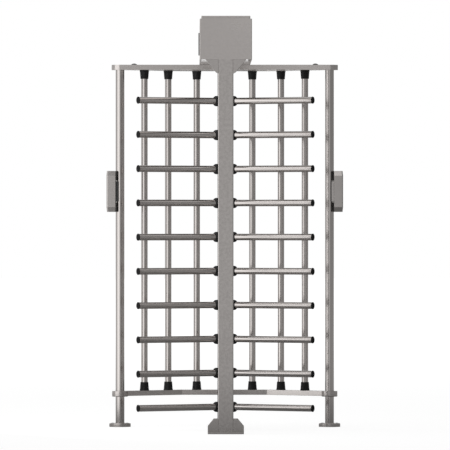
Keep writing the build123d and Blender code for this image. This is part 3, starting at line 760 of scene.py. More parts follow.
def join(name: str, pieces: Sequence[Piece]) -> Piece:
    """Make one piece of several.

    Args:
        name: Name of the new piece.
        pieces: Pieces that are joined.

    Returns:
        The new piece.
    """
    pick(*pieces)
    if len(pieces) > 1:
        bpy.ops.object.join()
    pieces[0].name = name
    return pieces[0]


def repeat(name: str, piece: Piece, places: Iterable[Matrix]) -> Piece:
    """Copy a piece to several places and make one piece of the copies.

    Args:
        name: Name of the new piece.
        piece: Piece that is copied and then removed.
        places: Where the copies go.

    Returns:
        The new piece.
    """
    copies = [copied(piece, place) for place in places]
    bpy.data.objects.remove(piece)
    return join(name, copies)


def mirrored(name: str, piece: Piece) -> Piece:
    """Copy a piece to the other side of the Y-Z plane.

    Args:
        name: Name of the copy.
        piece: Piece that is copied.

    Returns:
        The copy.
    """
    twin = copied(piece, Matrix.Scale(-1.0, 4, (1, 0, 0)))
    with editing(twin):
        bpy.ops.mesh.normals_make_consistent(inside=False)
    twin.name = name
    return twin


def pair(name: str, piece: Piece, *others: Piece) -> Piece:
    """Join a piece with its mirror image, and with others."""
    return join(name, [piece, mirrored(name + "_twin", piece), *others])


def deliver(
    piece: Piece, finish: Finish, *nodes: str, body: Body = Body.FRAME, smooth: float = 35.0
) -> None:
    """Shade and dress a finished piece and hang it on its body.

    Args:
        piece: The finished piece.
        finish: Its finish.
        nodes: Nodes that it is shown in place of.
        body: Body that it rides on.
        smooth: Largest angle in degrees that is shaded smooth.
    """
    settle(piece)
    clean(piece)
    bpy.ops.object.shade_smooth_by_angle(angle=math.radians(smooth))
    finish_with(piece, "WEIGHTED_NORMAL", keep_sharp=True, weight=80)
    piece.data.materials.clear()
    piece.data.materials.append(finish.material())
    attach(piece, body.value)
    if nodes:
        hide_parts(*nodes)
    log.info("piece %s: %s, %d faces", piece.name, finish.name, len(piece.data.polygons))


def dress(finish: Finish, *nodes: str) -> None:
    """Give frame nodes their finish.

    Args:
        finish: The finish.
        nodes: Names of the nodes.
    """
    for node in nodes:
        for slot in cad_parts[node].material_slots:
            slot.material = finish.material()
        log.info("node %s: %s", node, finish.name)


RIPPLES = 18
RIPPLE_SHARE = 0.86
RIPPLE_PITCH = 0.004


def bead(radius: float, thickness: float, sides: int = 72) -> Piece:
    """Make a ring-shaped weld bead about Z with uneven ripples.

    Args:
        radius: Radius of the ring.
        thickness: Radius of the bead.
        sides: Number of facets round the ring.

    Returns:
        The bead.
    """
    bpy.ops.object.select_all(action="DESELECT")
    bpy.ops.mesh.primitive_torus_add(
        major_radius=radius, minor_radius=thickness, major_segments=sides, minor_segments=8
    )
    piece = bpy.context.object
    ripple = lambda spot, way: math.sin(math.atan2(spot.y, spot.x) * RIPPLES) > 0.6
    with editing(piece, Part.EDGE, ripple):
        bpy.ops.transform.resize(value=(1.0, 1.0, RIPPLE_SHARE))
    return piece


def seam(start: Point, end: Point, thickness: float) -> Piece:
    """Make a straight weld bead with ripples along it.

    Args:
        start: Where it starts.
        end: Where it ends.
        thickness: Radius of the bead.

    Returns:
        The bead.
    """
    way = Vector(end) - Vector(start)
    steps = max(6, int(way.length / RIPPLE_PITCH))
    rings = []
    for step in range(steps + 1):
        swell = RIPPLE_SHARE if step % 2 else 1.0
        rings.append((thickness * swell, way.length * step / steps))
    return settle(turned("bead", rings, 8), facing(start, way))


# --- fasteners ---


@dataclass
class Fasteners:
    """Bolts, screws and washers that several sub-assemblies use, seated on Z = 0."""

    anchor_radius: float = 0.0085
    anchor_height: float = 0.0064
    washer_radius: float = 0.0100
    washer_thickness: float = 0.0016
    stud_profile: Profile = ((0.005, 0.0), (0.005, 0.004), (0.0042, 0.005))
    button_rise: float = 0.3
    button_profile: Profile = (
        (0.97, 0.0), (1.0, 0.12), (0.96, 0.42), (0.82, 0.74), (0.6, 0.95), (0.45, 1.0), (0.4, 0.92),
        (0.38, 0.35),
    )

    def button_screw(self, radius: float) -> Piece:
        """Low domed screw with a round socket."""
        rise = radius * self.button_rise
        return turned("screw", [(radius * a, rise * b) for a, b in self.button_profile], 20)

    def hex_screw(self, radius: float, height: float) -> Piece:
        """Hexagon screw head."""
        head = turned("screw", [(radius, 0.0), (radius, height)], 6)
        return bevel(head, radius * 0.12, 2)

    def anchor(self) -> Piece:
        """Make a hexagon anchor nut with its washer and the end of its stud.

        Returns:
            The anchor.
        """
        base = self.washer_thickness
        top = base + self.anchor_height
        washer = turned("washer", [(self.washer_radius, 0.0), (self.washer_radius, base)], 28)
        bevel(washer, 0.0003, 1)
        nut = turned("nut", [(self.anchor_radius, base), (self.anchor_radius, top)], 6)
        bevel(nut, 0.0009, 2)
        stud = turned("stud", [(radius, top + rise) for radius, rise in self.stud_profile], 16)
        return join("anchor", [washer, nut, stud])


@dataclass
class Assembly:
    """Sub-assembly of the turnstile, with the fasteners that it may use."""

    fasteners: Fasteners

    def build(self) -> None:
        """Make its pieces and dress its frame nodes."""
        raise NotImplementedError


# --- head ---


@dataclass
class HeadBox(Assembly):
    """Long box over the rotor: folded housing, lid tray, underside and indicator."""

    half_width: float = 0.1475
    front: float = -0.700
    rear: float = 0.697
    bottom: float = 2.112
    top: float = 2.341
    corner: Rounding = (0.004, 6)
    rim_corner: Rounding = (0.003, 3)
    fold: Rounding = (0.0007, 3)
    sheet: float = 0.003
    ledge: float = 0.0125
    rim_top: float = 2.3555
    lid_half: float = 0.138
    lid_inset: float = 0.0095
    lid_low: float = 2.349
    lid_top: float = 2.3575
    lid_sheet: float = 0.0015
    rib_y: tuple[float, ...] = (-0.46, -0.15, 0.15, 0.46)
    rib_reach: float = 0.118
    rib_half: float = 0.016
    rib_sheet: float = 0.0012
    rib_corner: Rounding = (0.0015, 2)
    lock_x: float = -0.080
    lock_z: float = 2.310
    lock_hole: float = 0.0096
    panel_y: Pair = (0.130, 0.370)
    panel_z: Pair = (2.165, 2.289)
    panel_face: float = -0.1535
    panel_frame: float = 0.0198
    panel_recess: float = 0.0055
    panel_corner: Rounding = (0.006, 4)
    dot_profile: Profile = ((0.0028, 0.0), (0.0026, 0.0005), (0.0014, 0.0009))
    dot_x: float = -0.1525
    dot_pitch: float = 0.011
    arrow_half: float = 0.052
    arrow_dots: int = 9
    barb_dots: int = 3

    def housing(self) -> None:
        """Open folded box with its raised rim and the hole for the lock."""
        low = (-self.half_width, self.front, self.bottom)
        shell = block("housing_shell", low, (self.half_width, self.rear, self.top))
        press(shell, looks(Z), self.ledge, (0, 0, self.rim_top - self.top))
        top, rim = self.top, self.rim_top - 0.001
        round_edges(shell, runs(Z, lambda spot: spot.z < top), *self.corner)
        round_edges(shell, runs(Z, lambda spot: spot.z > top), *self.rim_corner)
        cut_away(shell, lambda spot, way: way.z < -SQUARE or way.z > SQUARE and spot.z > rim)
        thicken(shell, self.sheet)
        place = facing((self.lock_x, self.rear, self.lock_z), (0, 1, 0))
        drill_through(shell, self.lock_hole, 0.02, place, 32)
        bevel(shell, *self.fold)
        deliver(shell, SHEET_LEVEL, "head_housing")

    def lid(self) -> None:
        """Lid tray with its folded edge and the ribs under it."""
        low = (-self.lid_half, self.front + self.lid_inset, self.lid_low)
        tray = block("lid_tray", low, (self.lid_half, self.rear - self.lid_inset, self.lid_top))
        cut_away(tray, looks(Z, -1))
        round_edges(tray, runs(Z), *self.rim_corner)
        thicken(tray, self.lid_sheet)
        bevel(tray, *self.fold)
        deliver(tray, SHEET_LID, "head_lid", body=Body.LID)
        ribs = []
        base, top = self.lid_low + 0.001, self.lid_top - self.lid_sheet
        for y in self.rib_y:
            low = (-self.rib_reach, y - self.rib_half, base)
            rib = block("rib", low, (self.rib_reach, y + self.rib_half, top))
            cut_away(rib, looks(Z))
            round_edges(rib, runs(X, lambda spot: spot.z < base + NEAR), *self.rib_corner)
            thicken(rib, self.rib_sheet)
            ribs.append(rib)
        deliver(join("lid_ribs", ribs), SHEET_LEVEL, body=Body.LID)

    def indicator(self) -> None:
        """Moulded frame of the direction indicator, and the arrow of lamps behind its lens."""
        (near, far), (low, high) = self.panel_y, self.panel_z
        middle_y, middle_z = (near + far) / 2, (low + high) / 2
        corner = (self.panel_face, near, low)
        panel = block("indicator_surround", corner, (-self.half_width, far, high))
        press(panel, looks(X, -1), self.panel_frame, (self.panel_recess, 0, 0))
        outer = (far - near) / 2 - 0.001
        at_end = runs(X, lambda spot: abs(spot.y - middle_y) > outer)
        round_edges(panel, at_end, *self.panel_corner)
        bevel(panel, 0.0012, 3)
        deliver(panel, DARK_PLASTIC, "indicator_bezel")
        tip = middle_y - self.arrow_half
        dots = [(tip + self.dot_pitch * step, middle_z) for step in range(self.arrow_dots)]
        for step in range(1, self.barb_dots + 1):
            reach = self.dot_pitch * step
            dots += [(tip + reach, middle_z + reach), (tip + reach, middle_z - reach)]
        places = [facing((self.dot_x, y, z), (-1, 0, 0)) for y, z in dots]
        arrow = repeat("indicator_arrow", turned("dot", self.dot_profile, 12), places)
        deliver(arrow, GREEN_LAMP)

    def build(self) -> None:
        """Make the head's pieces and dress its frame nodes."""
        self.housing()
        self.lid()
        self.indicator()
        dress(UNDERSIDE_SHEET_PAINTED_SHEEN, "head_floor")
        dress(LENS, "indicator_lens")
        dress(ZINC, "hinge_leaves_fixed", "hinge_leaves_lid", "hinge_pins")


# --- comb ---

CAP_PROFILE: Profile = (
    (0.0198, 0.0), (0.0205, 0.0005), (0.0205, 0.0020), (0.0201, 0.0027), (0.0188, 0.0033),
    (0.0150, 0.0037), (0.0090, 0.0039), (0.0030, 0.0040),
)


def end_cap() -> Piece:
    """Domed tube cap with a rolled rim, its back on Z = 0."""
    return turned("end_cap", CAP_PROFILE)


@dataclass
class Comb(Assembly):
    """Square post with its fingers, shoe and head gussets."""

    half: float = 0.043
    front: float = -0.700
    rear: float = -0.614
    plate_half: float = 0.102
    plate_rear: float = -0.560
    plate_top: float = 0.012
    gusset: float = 0.008
    corner_fill: float = 0.0015
    shoe_high: Pair = (0.102, 0.086)
    shoe_cuts: tuple[tuple[Pair, Pair], ...] = (((0.102, 0.045), (0.041, 0.034)),)
    head_low: float = 2.034
    head_high: Pair = (0.120, 2.112)
    head_cuts: tuple[tuple[Pair, Pair], ...] = (
        ((0.115, 2.112), (0.0715, -0.059)),
        ((0.056, 2.0405), (0.0065, -0.013)),
    )
    weld_lines: tuple[tuple[Pair, Pair], ...] = (
        ((0.043, 0.013), (0.043, 0.085)),
        ((0.043, 0.0125), (0.1, 0.0125)),
        ((0.043, 2.036), (0.043, 2.111)),
        ((0.043, 2.1115), (0.112, 2.1115)),
    )
    weld: float = 0.0022
    rear_weld: tuple[float, float, float] = (0.036, 0.0125, 0.0026)
    finger_weld: tuple[float, float, int] = (0.0198, 0.0017, 36)
    tip: float = -0.0685
    first_finger: float = 0.22935
    pitch: float = 0.1955
    fingers: int = 9
    bolts_x: float = 0.078
    bolts_y: Pair = (-0.670, -0.590)

    def shoe(self) -> None:
        """Base plate with its anchors."""
        low = (-self.plate_half, self.front, 0.0)
        high = (self.plate_half, self.plate_rear, self.plate_top)
        plate = rounded_block("comb_shoe_plate", low, high, Z, (0.004, 3), (0.0012, 3))
        deliver(plate, SHEET_LEVEL, "comb_base_plate")
        bolts = [(side * self.bolts_x, y) for y in self.bolts_y for side in SIDES]
        spots = [at(x, y, self.plate_top, 15 * i) for i, (x, y) in enumerate(bolts)]
        deliver(repeat("comb_anchors", self.fasteners.anchor(), spots), ZINC)

    def gussets(self, name: str, low: float, high: Pair, cuts: Sequence, node: str) -> None:
        """Cut a pair of gusset plates for each side of the post.

        Args:
            name: Name of the finished piece.
            low: Lowest Z of the blank.
            high: Highest X and Z of the blank, on the right side.
            cuts: Point and outward normal of each saw cut, in X and Z.
            node: Node that the plates are shown in place of.
        """
        corner = (self.half - self.corner_fill, self.front, low)
        blank = block(name, corner, (high[0], self.front + self.gusset, high[1]))
        for (x, z), (nx, nz) in cuts:
            cut(blank, (x, self.front, z), (nx, 0, nz))
        bevel(blank, 0.001, 3)
        back = self.rear - self.gusset - self.front
        second = copied(blank, Matrix.Translation((0, back, 0)))
        deliver(pair(name, join(name, [blank, second])), SHADED_SHEET_POST, node)

    def welds(self) -> None:
        """Beads where gussets and post meet shoe and head, and round the fingers."""
        beads = []
        for y in (self.front + self.gusset, self.rear - self.gusset):
            for (x0, z0), (x1, z1) in self.weld_lines:
                beads.append(seam((x0, y, z0), (x1, y, z1), self.weld))
        right = join("comb_welds", beads)
        reach, z, thickness = self.rear_weld
        rear = seam((-reach, self.rear, z), (reach, self.rear, z), thickness)
        deliver(pair("comb_welds", right, rear), WELD)
        turn = Matrix.Rotation(math.radians(90), 4, "X")
        spots = [Matrix.Translation((0, self.rear + 0.0008, z)) @ turn for z in self.rows()]
        deliver(repeat("finger_welds", bead(*self.finger_weld), spots), WELD)

    def rows(self) -> list[float]:
        """Heights of the fingers."""
        return [self.first_finger + self.pitch * i for i in range(self.fingers)]

    def build(self) -> None:
        """Make the comb's pieces and dress its frame nodes."""
        self.shoe()
        for name, low, high, cuts, node in (
            ("shoe_gussets", self.plate_top, self.shoe_high, self.shoe_cuts, "comb_base_gussets"),
            ("head_gussets", self.head_low, self.head_high, self.head_cuts, "comb_head_gussets"),
        ):
            self.gussets(name, low, high, cuts, node)
        self.welds()
        places = [facing((0, self.tip, z), (0, 1, 0)) for z in self.rows()]
        deliver(repeat("finger_end_caps", end_cap(), places), CAP_RUBBER, "comb_finger_caps")
        dress(SHADED_SHEET_POST, "comb_post")
        dress(TUBE_FINGER, "comb_fingers")


# --- rotor ---


@dataclass
class Rotor(Assembly):
    """Column with three wings of ten arms, collars and end caps, on its foot."""

    first_arm: float = 0.1316
    pitch: float = 0.1955
    arms: int = 10
    reach: float = 0.574
    wings: tuple[float, ...] = (210.0, 330.0, 90.0)
    collar_back: float = 0.030
    collar_profile: Profile = (
        (0.0191, 0.0), (0.0294, 0.0), (0.0300, 0.0010), (0.0300, 0.0270), (0.0297, 0.0310),
        (0.0289, 0.0342), (0.0275, 0.0372), (0.0257, 0.0394), (0.0238, 0.0406), (0.0225, 0.0410),
        (0.0204, 0.0410), (0.0191, 0.0402), (0.0191, 0.0),
    )
    foot_half: float = 0.085
    foot_top: float = 0.012
    foot_bolt: float = 0.065

    def places(self, reach: float) -> list[Matrix]:
        """Find the places on every arm at one distance from the axis, looking outwards.

        Args:
            reach: The distance.

        Returns:
            The places, wing by wing.
        """
        rows = [self.first_arm + self.pitch * i for i in range(self.arms)]
        found = []
        for wing in self.wings:
            x, y = math.cos(math.radians(wing)), math.sin(math.radians(wing))
            found += [facing((x * reach, y * reach, z), (x, y, 0)) for z in rows]
        return found

    def foot(self) -> None:
        """Floor plate with its anchors, under the pivot."""
        half, top, bolt = self.foot_half, self.foot_top, self.foot_bolt
        plate = rounded_block(
            "pivot_plate", (-half, -half, 0.0), (half, half, top), Z, (0.006, 3), (0.001, 2)
        )
        deliver(plate, ZINC, "floor_plate")
        spots = [at(bolt * a, bolt * b, top, 20 * a + 9 * b) for a in SIDES for b in SIDES]
        deliver(repeat("pivot_anchors", self.fasteners.anchor(), spots), ZINC)

    def build(self) -> None:
        """Make the rotor's pieces and dress its frame nodes."""
        caps = repeat("wing_end_caps", end_cap(), self.places(self.reach))
        deliver(caps, CAP_RUBBER, "arm_end_caps", body=Body.ROTOR)
        bell = turned("bell", self.collar_profile, 40, bored=True)
        collars = repeat("wing_collars", bell, self.places(self.collar_back))
        deliver(collars, RUBBER, "arm_collars", body=Body.ROTOR, smooth=30.0)
        self.foot()
        dress(TUBE_UPRIGHT, "rotor_column")
        dress(TUBE_LEFT, "wing_arms_left")
        dress(TUBE_RIGHT, "wing_arms_right")
        dress(TUBE_REAR, "wing_arms_rear")
        dress(MACHINED, "pivot_pin", "spindle")
        dress(CAST, "bearing_cup")
        dress(BRONZE, "lower_bearing")


# --- guard ---


@dataclass
class Guard(Assembly):
    """Bent guard of upright bars between two rails, the straight top beam and the outer posts."""

    post_x: float = 0.6115
    post_y: float = 0.430
    post_radius: float = 0.0255
    bend_x: float = 0.254
    rail_y: float = 0.6725
    rail_end: float = 0.041
    half_depth: float = 0.020
    lower: Pair = (0.179, 0.209)
    upper: Pair = (2.082, 2.112)
    mitre_weld: float = 0.0009
    beam_half: float = 0.049
    bars: tuple[Pair, ...] = ((0.0, 0.6725), (0.1635, 0.6725), (0.331, 0.62026), (0.470, 0.52598))
    ring_profile: Profile = (
        (0.0256, 0.1762), (0.0435, 0.1762), (0.0452, 0.1770), (0.0460, 0.1788), (0.0460, 0.2068),
        (0.0455, 0.2082), (0.0442, 0.2087), (0.0256, 0.2087), (0.0256, 0.1762),
    )
    ring_welds: Pair = (0.2089, 0.1761)
    sleeve_profile: Profile = (
        (0.0191, 0.0), (0.0268, 0.0), (0.0275, 0.0008), (0.0275, 0.0052), (0.0270, 0.0060),
        (0.0262, 0.0066), (0.0246, 0.0280), (0.0231, 0.0470), (0.0227, 0.0484), (0.0219, 0.0490),
        (0.0200, 0.0490), (0.0191, 0.0482), (0.0191, 0.0),
    )
    flange_top: float = 0.021
    flange_screw: float = 0.0085
    bolt_circle: float = 0.042

    def rail(self, name: str, span: Pair, ends_on_beam: bool, node: str) -> None:
        """Build a rail of three straight runs, mitred and welded at its two bends.

        Args:
            name: Name of the piece.
            span: Lowest and highest Z.
            ends_on_beam: True where its ends are cut square on the beam.
            node: Node that it is shown in place of.
        """
        low, high = span
        bend_x, rail_y, half = self.bend_x, self.rail_y, self.half_depth
        dx, dy = self.post_x - bend_x, self.post_y - rail_y
        length = math.hypot(dx, dy)
        ux, uy = dx / length, dy / length
        mitre = Vector((1 + ux, uy, 0))
        middle = block(name, (-0.3, rail_y - half, low), (0.3, rail_y + half, high))
        cut(middle, (bend_x, rail_y, low), mitre)
        cut(middle, (-bend_x, rail_y, low), (-mitre.x, mitre.y, 0))
        run = block("run", (-0.05, -half, low), (length, half, high))
        settle(run, at(bend_x, rail_y, 0, math.degrees(math.atan2(uy, ux))))
        cut(run, (bend_x, rail_y, low), -mitre)
        if ends_on_beam:
            cut(run, (0, self.post_y + self.beam_half, 0), (0, -1, 0))
        else:
            end = (self.post_x - ux * self.rail_end, self.post_y - uy * self.rail_end, 0)
            cut(run, end, (ux, uy, 0))
        rail = join(name, [middle, run, mirrored("run_left", run)])
        bevel(rail, 0.0012, 3)
        deliver(rail, SHEET_BEAM, node)
        rise = half * mitre.y / mitre.x
        seams = []
        for side in SIDES:
            for sign in SIDES:
                x, y = side * (bend_x - sign * rise), rail_y + sign * half
                seams.append(seam((x, y, low + 0.001), (x, y, high - 0.001), self.mitre_weld))
        deliver(join(name + "_welds", seams), WELD)

    def beam(self) -> None:
        """Top beam with half-round ends."""
        half = self.beam_half
        reach = self.post_x + half
        low, high = (-reach, self.post_y - half), (reach, self.post_y + half)
        low, high = (*low, self.upper[0]), (*high, self.upper[1])
        beam = rounded_block("top_beam_box", low, high, Z, (half * 0.999, 14), (0.001, 2))
        deliver(beam, SHEET_BEAM, "top_beam")

    def post_welds(self, name: str, levels: Sequence[float], gap: float, thickness: float) -> None:
        """Lay weld beads round both outer posts.

        Args:
            name: Name of the piece.
            levels: Heights of the beads.
            gap: Distance of a bead's middle from the post.
            thickness: Radius of a bead.
        """
        beads = []
        for z in levels:
            for side in SIDES:
                place = facing((side * self.post_x, self.post_y, z), (0, 0, 1))
                beads.append(settle(bead(self.post_radius + gap, thickness), place))
        deliver(join(name, beads), WELD)

    def sleeves(self) -> None:
        """Tapered rubber sleeves where the bars meet the rails."""
        spots = [(side * x, y) for x, y in self.bars for side in (1, -1) if side > 0 or x]
        down = Matrix.Rotation(math.radians(180), 4, "X")
        low = [at(x, y, self.lower[1]) for x, y in spots]
        high = [at(x, y, self.upper[0]) @ down for x, y in spots]
        for name, places, node in (
            ("bar_sleeves_low", low, "lower_sleeves"),
            ("bar_sleeves_high", high, "upper_sleeves"),
        ):
            sleeve = turned("sleeve", self.sleeve_profile, 40, bored=True)
            deliver(repeat(name, sleeve, places), RUBBER, node, smooth=30.0)

    def build(self) -> None:
        """Make the guard's pieces and dress its frame nodes."""
        self.rail("guard_rail_low", self.lower, False, "lower_rail")
        self.rail("guard_rail_high", self.upper, True, "upper_rail")
        self.beam()
        posts = [(side * self.post_x, self.post_y) for side in SIDES]
        ring = turned("ring", self.ring_profile, 56, bored=True)
        rings = repeat("post_rings", ring, [at(x, y, 0) for x, y in posts])
        deliver(rings, SHEET_BEAM, "rail_collars")
        self.post_welds("post_ring_welds", self.ring_welds, 0.001, 0.0018)
        self.sleeves()
        spots = []
        for post in posts:
            spots += circle(post, self.bolt_circle, self.flange_top, 4, 0.0, 25.0)
        screw = self.fasteners.button_screw(self.flange_screw)
        deliver(repeat("flange_screws", screw, spots), ZINC)
        self.post_welds("flange_welds", [self.flange_top], 0.0012, 0.0026)
        dress(TUBE_UPRIGHT, "guard_bars", "outer_post_left", "outer_post_right")
        dress(SHEET_LEVEL, "post_flanges")
        dress(GREY_PLASTIC, "beam_caps")


# --- readers ---


@dataclass
class CardReader:
    """Card reader on the outer side of a post, made on the right and mirrored for the left."""

    side: int
    label: str
    shell_nodes: tuple[str, ...] = ()
    inner: float = 0.6375
    face: float = 0.690
    middle: float = 0.430
    half: float = 0.0475
    end_half: float = 0.0405
    end_step: float = 0.003
    low: float = 1.254
    high: float = 1.493
    slope: float = 0.028
    corner: Rounding = (0.007, 6)
    window_half: float = 0.031
    window: Pair = (1.3215, 1.4255)
    window_depth: float = 0.0012
    light_half: Pair = (0.014, 0.0022)
    light_rise: float = 0.016
    clamp_half: float = 0.033
    clamp_inner: float = 0.6225
    clamp: Pair = (1.3155, 1.4315)
    cheek: float = 0.0012
    # Pale spacers in the clamp gaps, painted light for the background seen through them.
    gap_light_profile: Profile = ((0.0044, 0.0), (0.0048, 0.0006), (0.0048, 0.0062), (0.0044, 0.0068))
    gap_light_x: float = 0.6325
    gap_light_reach: float = 0.031
    gap_light_z: Pair = (1.3081, 1.4321)

    def shell(self) -> Piece:
        """Make the steel cover with sloped ends, rounded corners and its window recess.

        Returns:
            The cover.
        """
        low = (self.inner, self.middle - self.half, self.low)
        cover = block("cover", low, (self.face, self.middle + self.half, self.high))
        folds = (self.low + self.slope, self.high - self.slope)
        score(cover, Z, *folds)
        share = self.end_half / self.half
        for end, sign in ((self.low, -1), (self.high, 1)):
            with editing(cover, Part.FACE, looks(Z, sign)):
                bpy.ops.transform.resize(value=(1, share, 1), center_override=(0, self.middle, end))
            at_end = lambda spot, way: abs(spot.z - end) < NEAR and spot.x > self.face - NEAR
            with editing(cover, Part.EDGE, at_end):
                bpy.ops.transform.translate(value=(-self.end_step, 0, 0))
        round_edges(cover, runs(Z, lambda spot: spot.x > self.face - 0.004), *self.corner)
        score(cover, Y, self.middle - self.window_half, self.middle + self.window_half)
        score(cover, Z, *self.window)
        press(cover, looks(X, where=self.in_window), 0.0, (-self.window_depth, 0, 0))
        bevel(cover, 0.0008, 3)
        on_fold = lambda spot, way: abs(way.z) < 0.1 and min(abs(spot.z - z) for z in folds) < NEAR
        with editing(cover, Part.EDGE, on_fold):
            bpy.ops.mesh.mark_sharp()
        return cover

    def in_window(self, spot: Vector) -> bool:
        """Tell a place inside the window."""
        across = abs(spot.y - self.middle) < self.window_half
        return across and self.window[0] < spot.z < self.window[1]

    def window_plate(self) -> Piece:
        """Make the smoked reading window with eased corners.

        Returns:
            The window.
        """
        gap = 0.0012
        half, (bottom, top) = self.window_half, self.window
        low = (self.face - 0.0013, self.middle - half + gap, bottom + gap)
        high = (self.face - 0.0002, self.middle + half - gap, top - gap)
        return rounded_block("plate", low, high, X, (0.005, 4), (0.0005, 2))

    def light_bar(self) -> Piece:
        """Make the status light above the reading window.

        Returns:
            The light.
        """
        z = self.window[1] + self.light_rise
        half_y, half_z = self.light_half
        low = (self.face - 0.002, self.middle - half_y, z - half_z)
        high = (self.face - 0.0001, self.middle + half_y, z + half_z)
        return rounded_block("bar", low, high, X, (0.002, 3), (0.0003, 2))

    def clamp_cheek_painted_light(self) -> Piece:
        """Make the steel cheek over one flank of the clamp: the front flank on the right reader,
        the rear flank on the left, so that the right clamp shows lit steel while the left shows
        dark plastic, painted light and shade.

        Returns:
            The cheek.
        """
        # Front flank on the right reader, rear flank on the left: painted light on the right clamp
        # only.
        flank = self.middle - self.side * self.clamp_half
        near, far = sorted((flank, flank - self.side * self.cheek))
        low, high = (self.clamp_inner, near, self.clamp[0]), (self.inner, far, self.clamp[1])
        cheek = block("cheek", low, high)
        edge = self.clamp_inner + 0.001
        round_edges(cheek, runs(Y, lambda spot: spot.x < edge), 0.002, 3)
        return bevel(cheek, 0.0003, 2)

    def gap_light_spacers(self) -> Piece:
        """Make pale nylon spacers that fill the gaps between the clamp and the saddles, painted
        light for the background seen through those gaps.

        Returns:
            The spacers.
        """
        rows = [self.middle + side * self.gap_light_reach for side in SIDES]
        places = [at(self.gap_light_x, y, z) for z in self.gap_light_z for y in rows]
        return repeat("gap_light_spacers", turned("gap_light_spacer", self.gap_light_profile, 20), places)

    def build(self) -> None:
        """Make this reader's pieces, each brought to the reader's side."""
        for name, make, finish, nodes in (
            ("reader_cover", self.shell, SHADED_SHEET_READER, self.shell_nodes),
            ("reader_window", self.window_plate, LENS, ()),
            ("reader_light", self.light_bar, BLUE_LAMP, ()),
            ("clamp_cheek_painted_light", self.clamp_cheek_painted_light, SHADED_SHEET_READER, ()),
            ("clamp_spacers_painted_gap_light", self.gap_light_spacers, GAP_LIGHT_NYLON, ()),
        ):
            piece = make()
            if self.side < 0:
                right, piece = piece, mirrored("left", piece)
                bpy.data.objects.remove(right)
            piece.name = f"{name}_{self.label}"
            deliver(piece, finish, *nodes)


@dataclass
class Readers(Assembly):
    """The card readers on both outer posts."""

    def build(self) -> None:
        """Make both readers and dress their frame nodes."""
        CardReader(-1, "left").build()
        CardReader(1, "right", ("reader_shells",)).build()
        dress(CASE_PLASTIC, "reader_bases")
        dress(GREY_PLASTIC, "reader_clamps")


# --- electrics, lock and drive ---


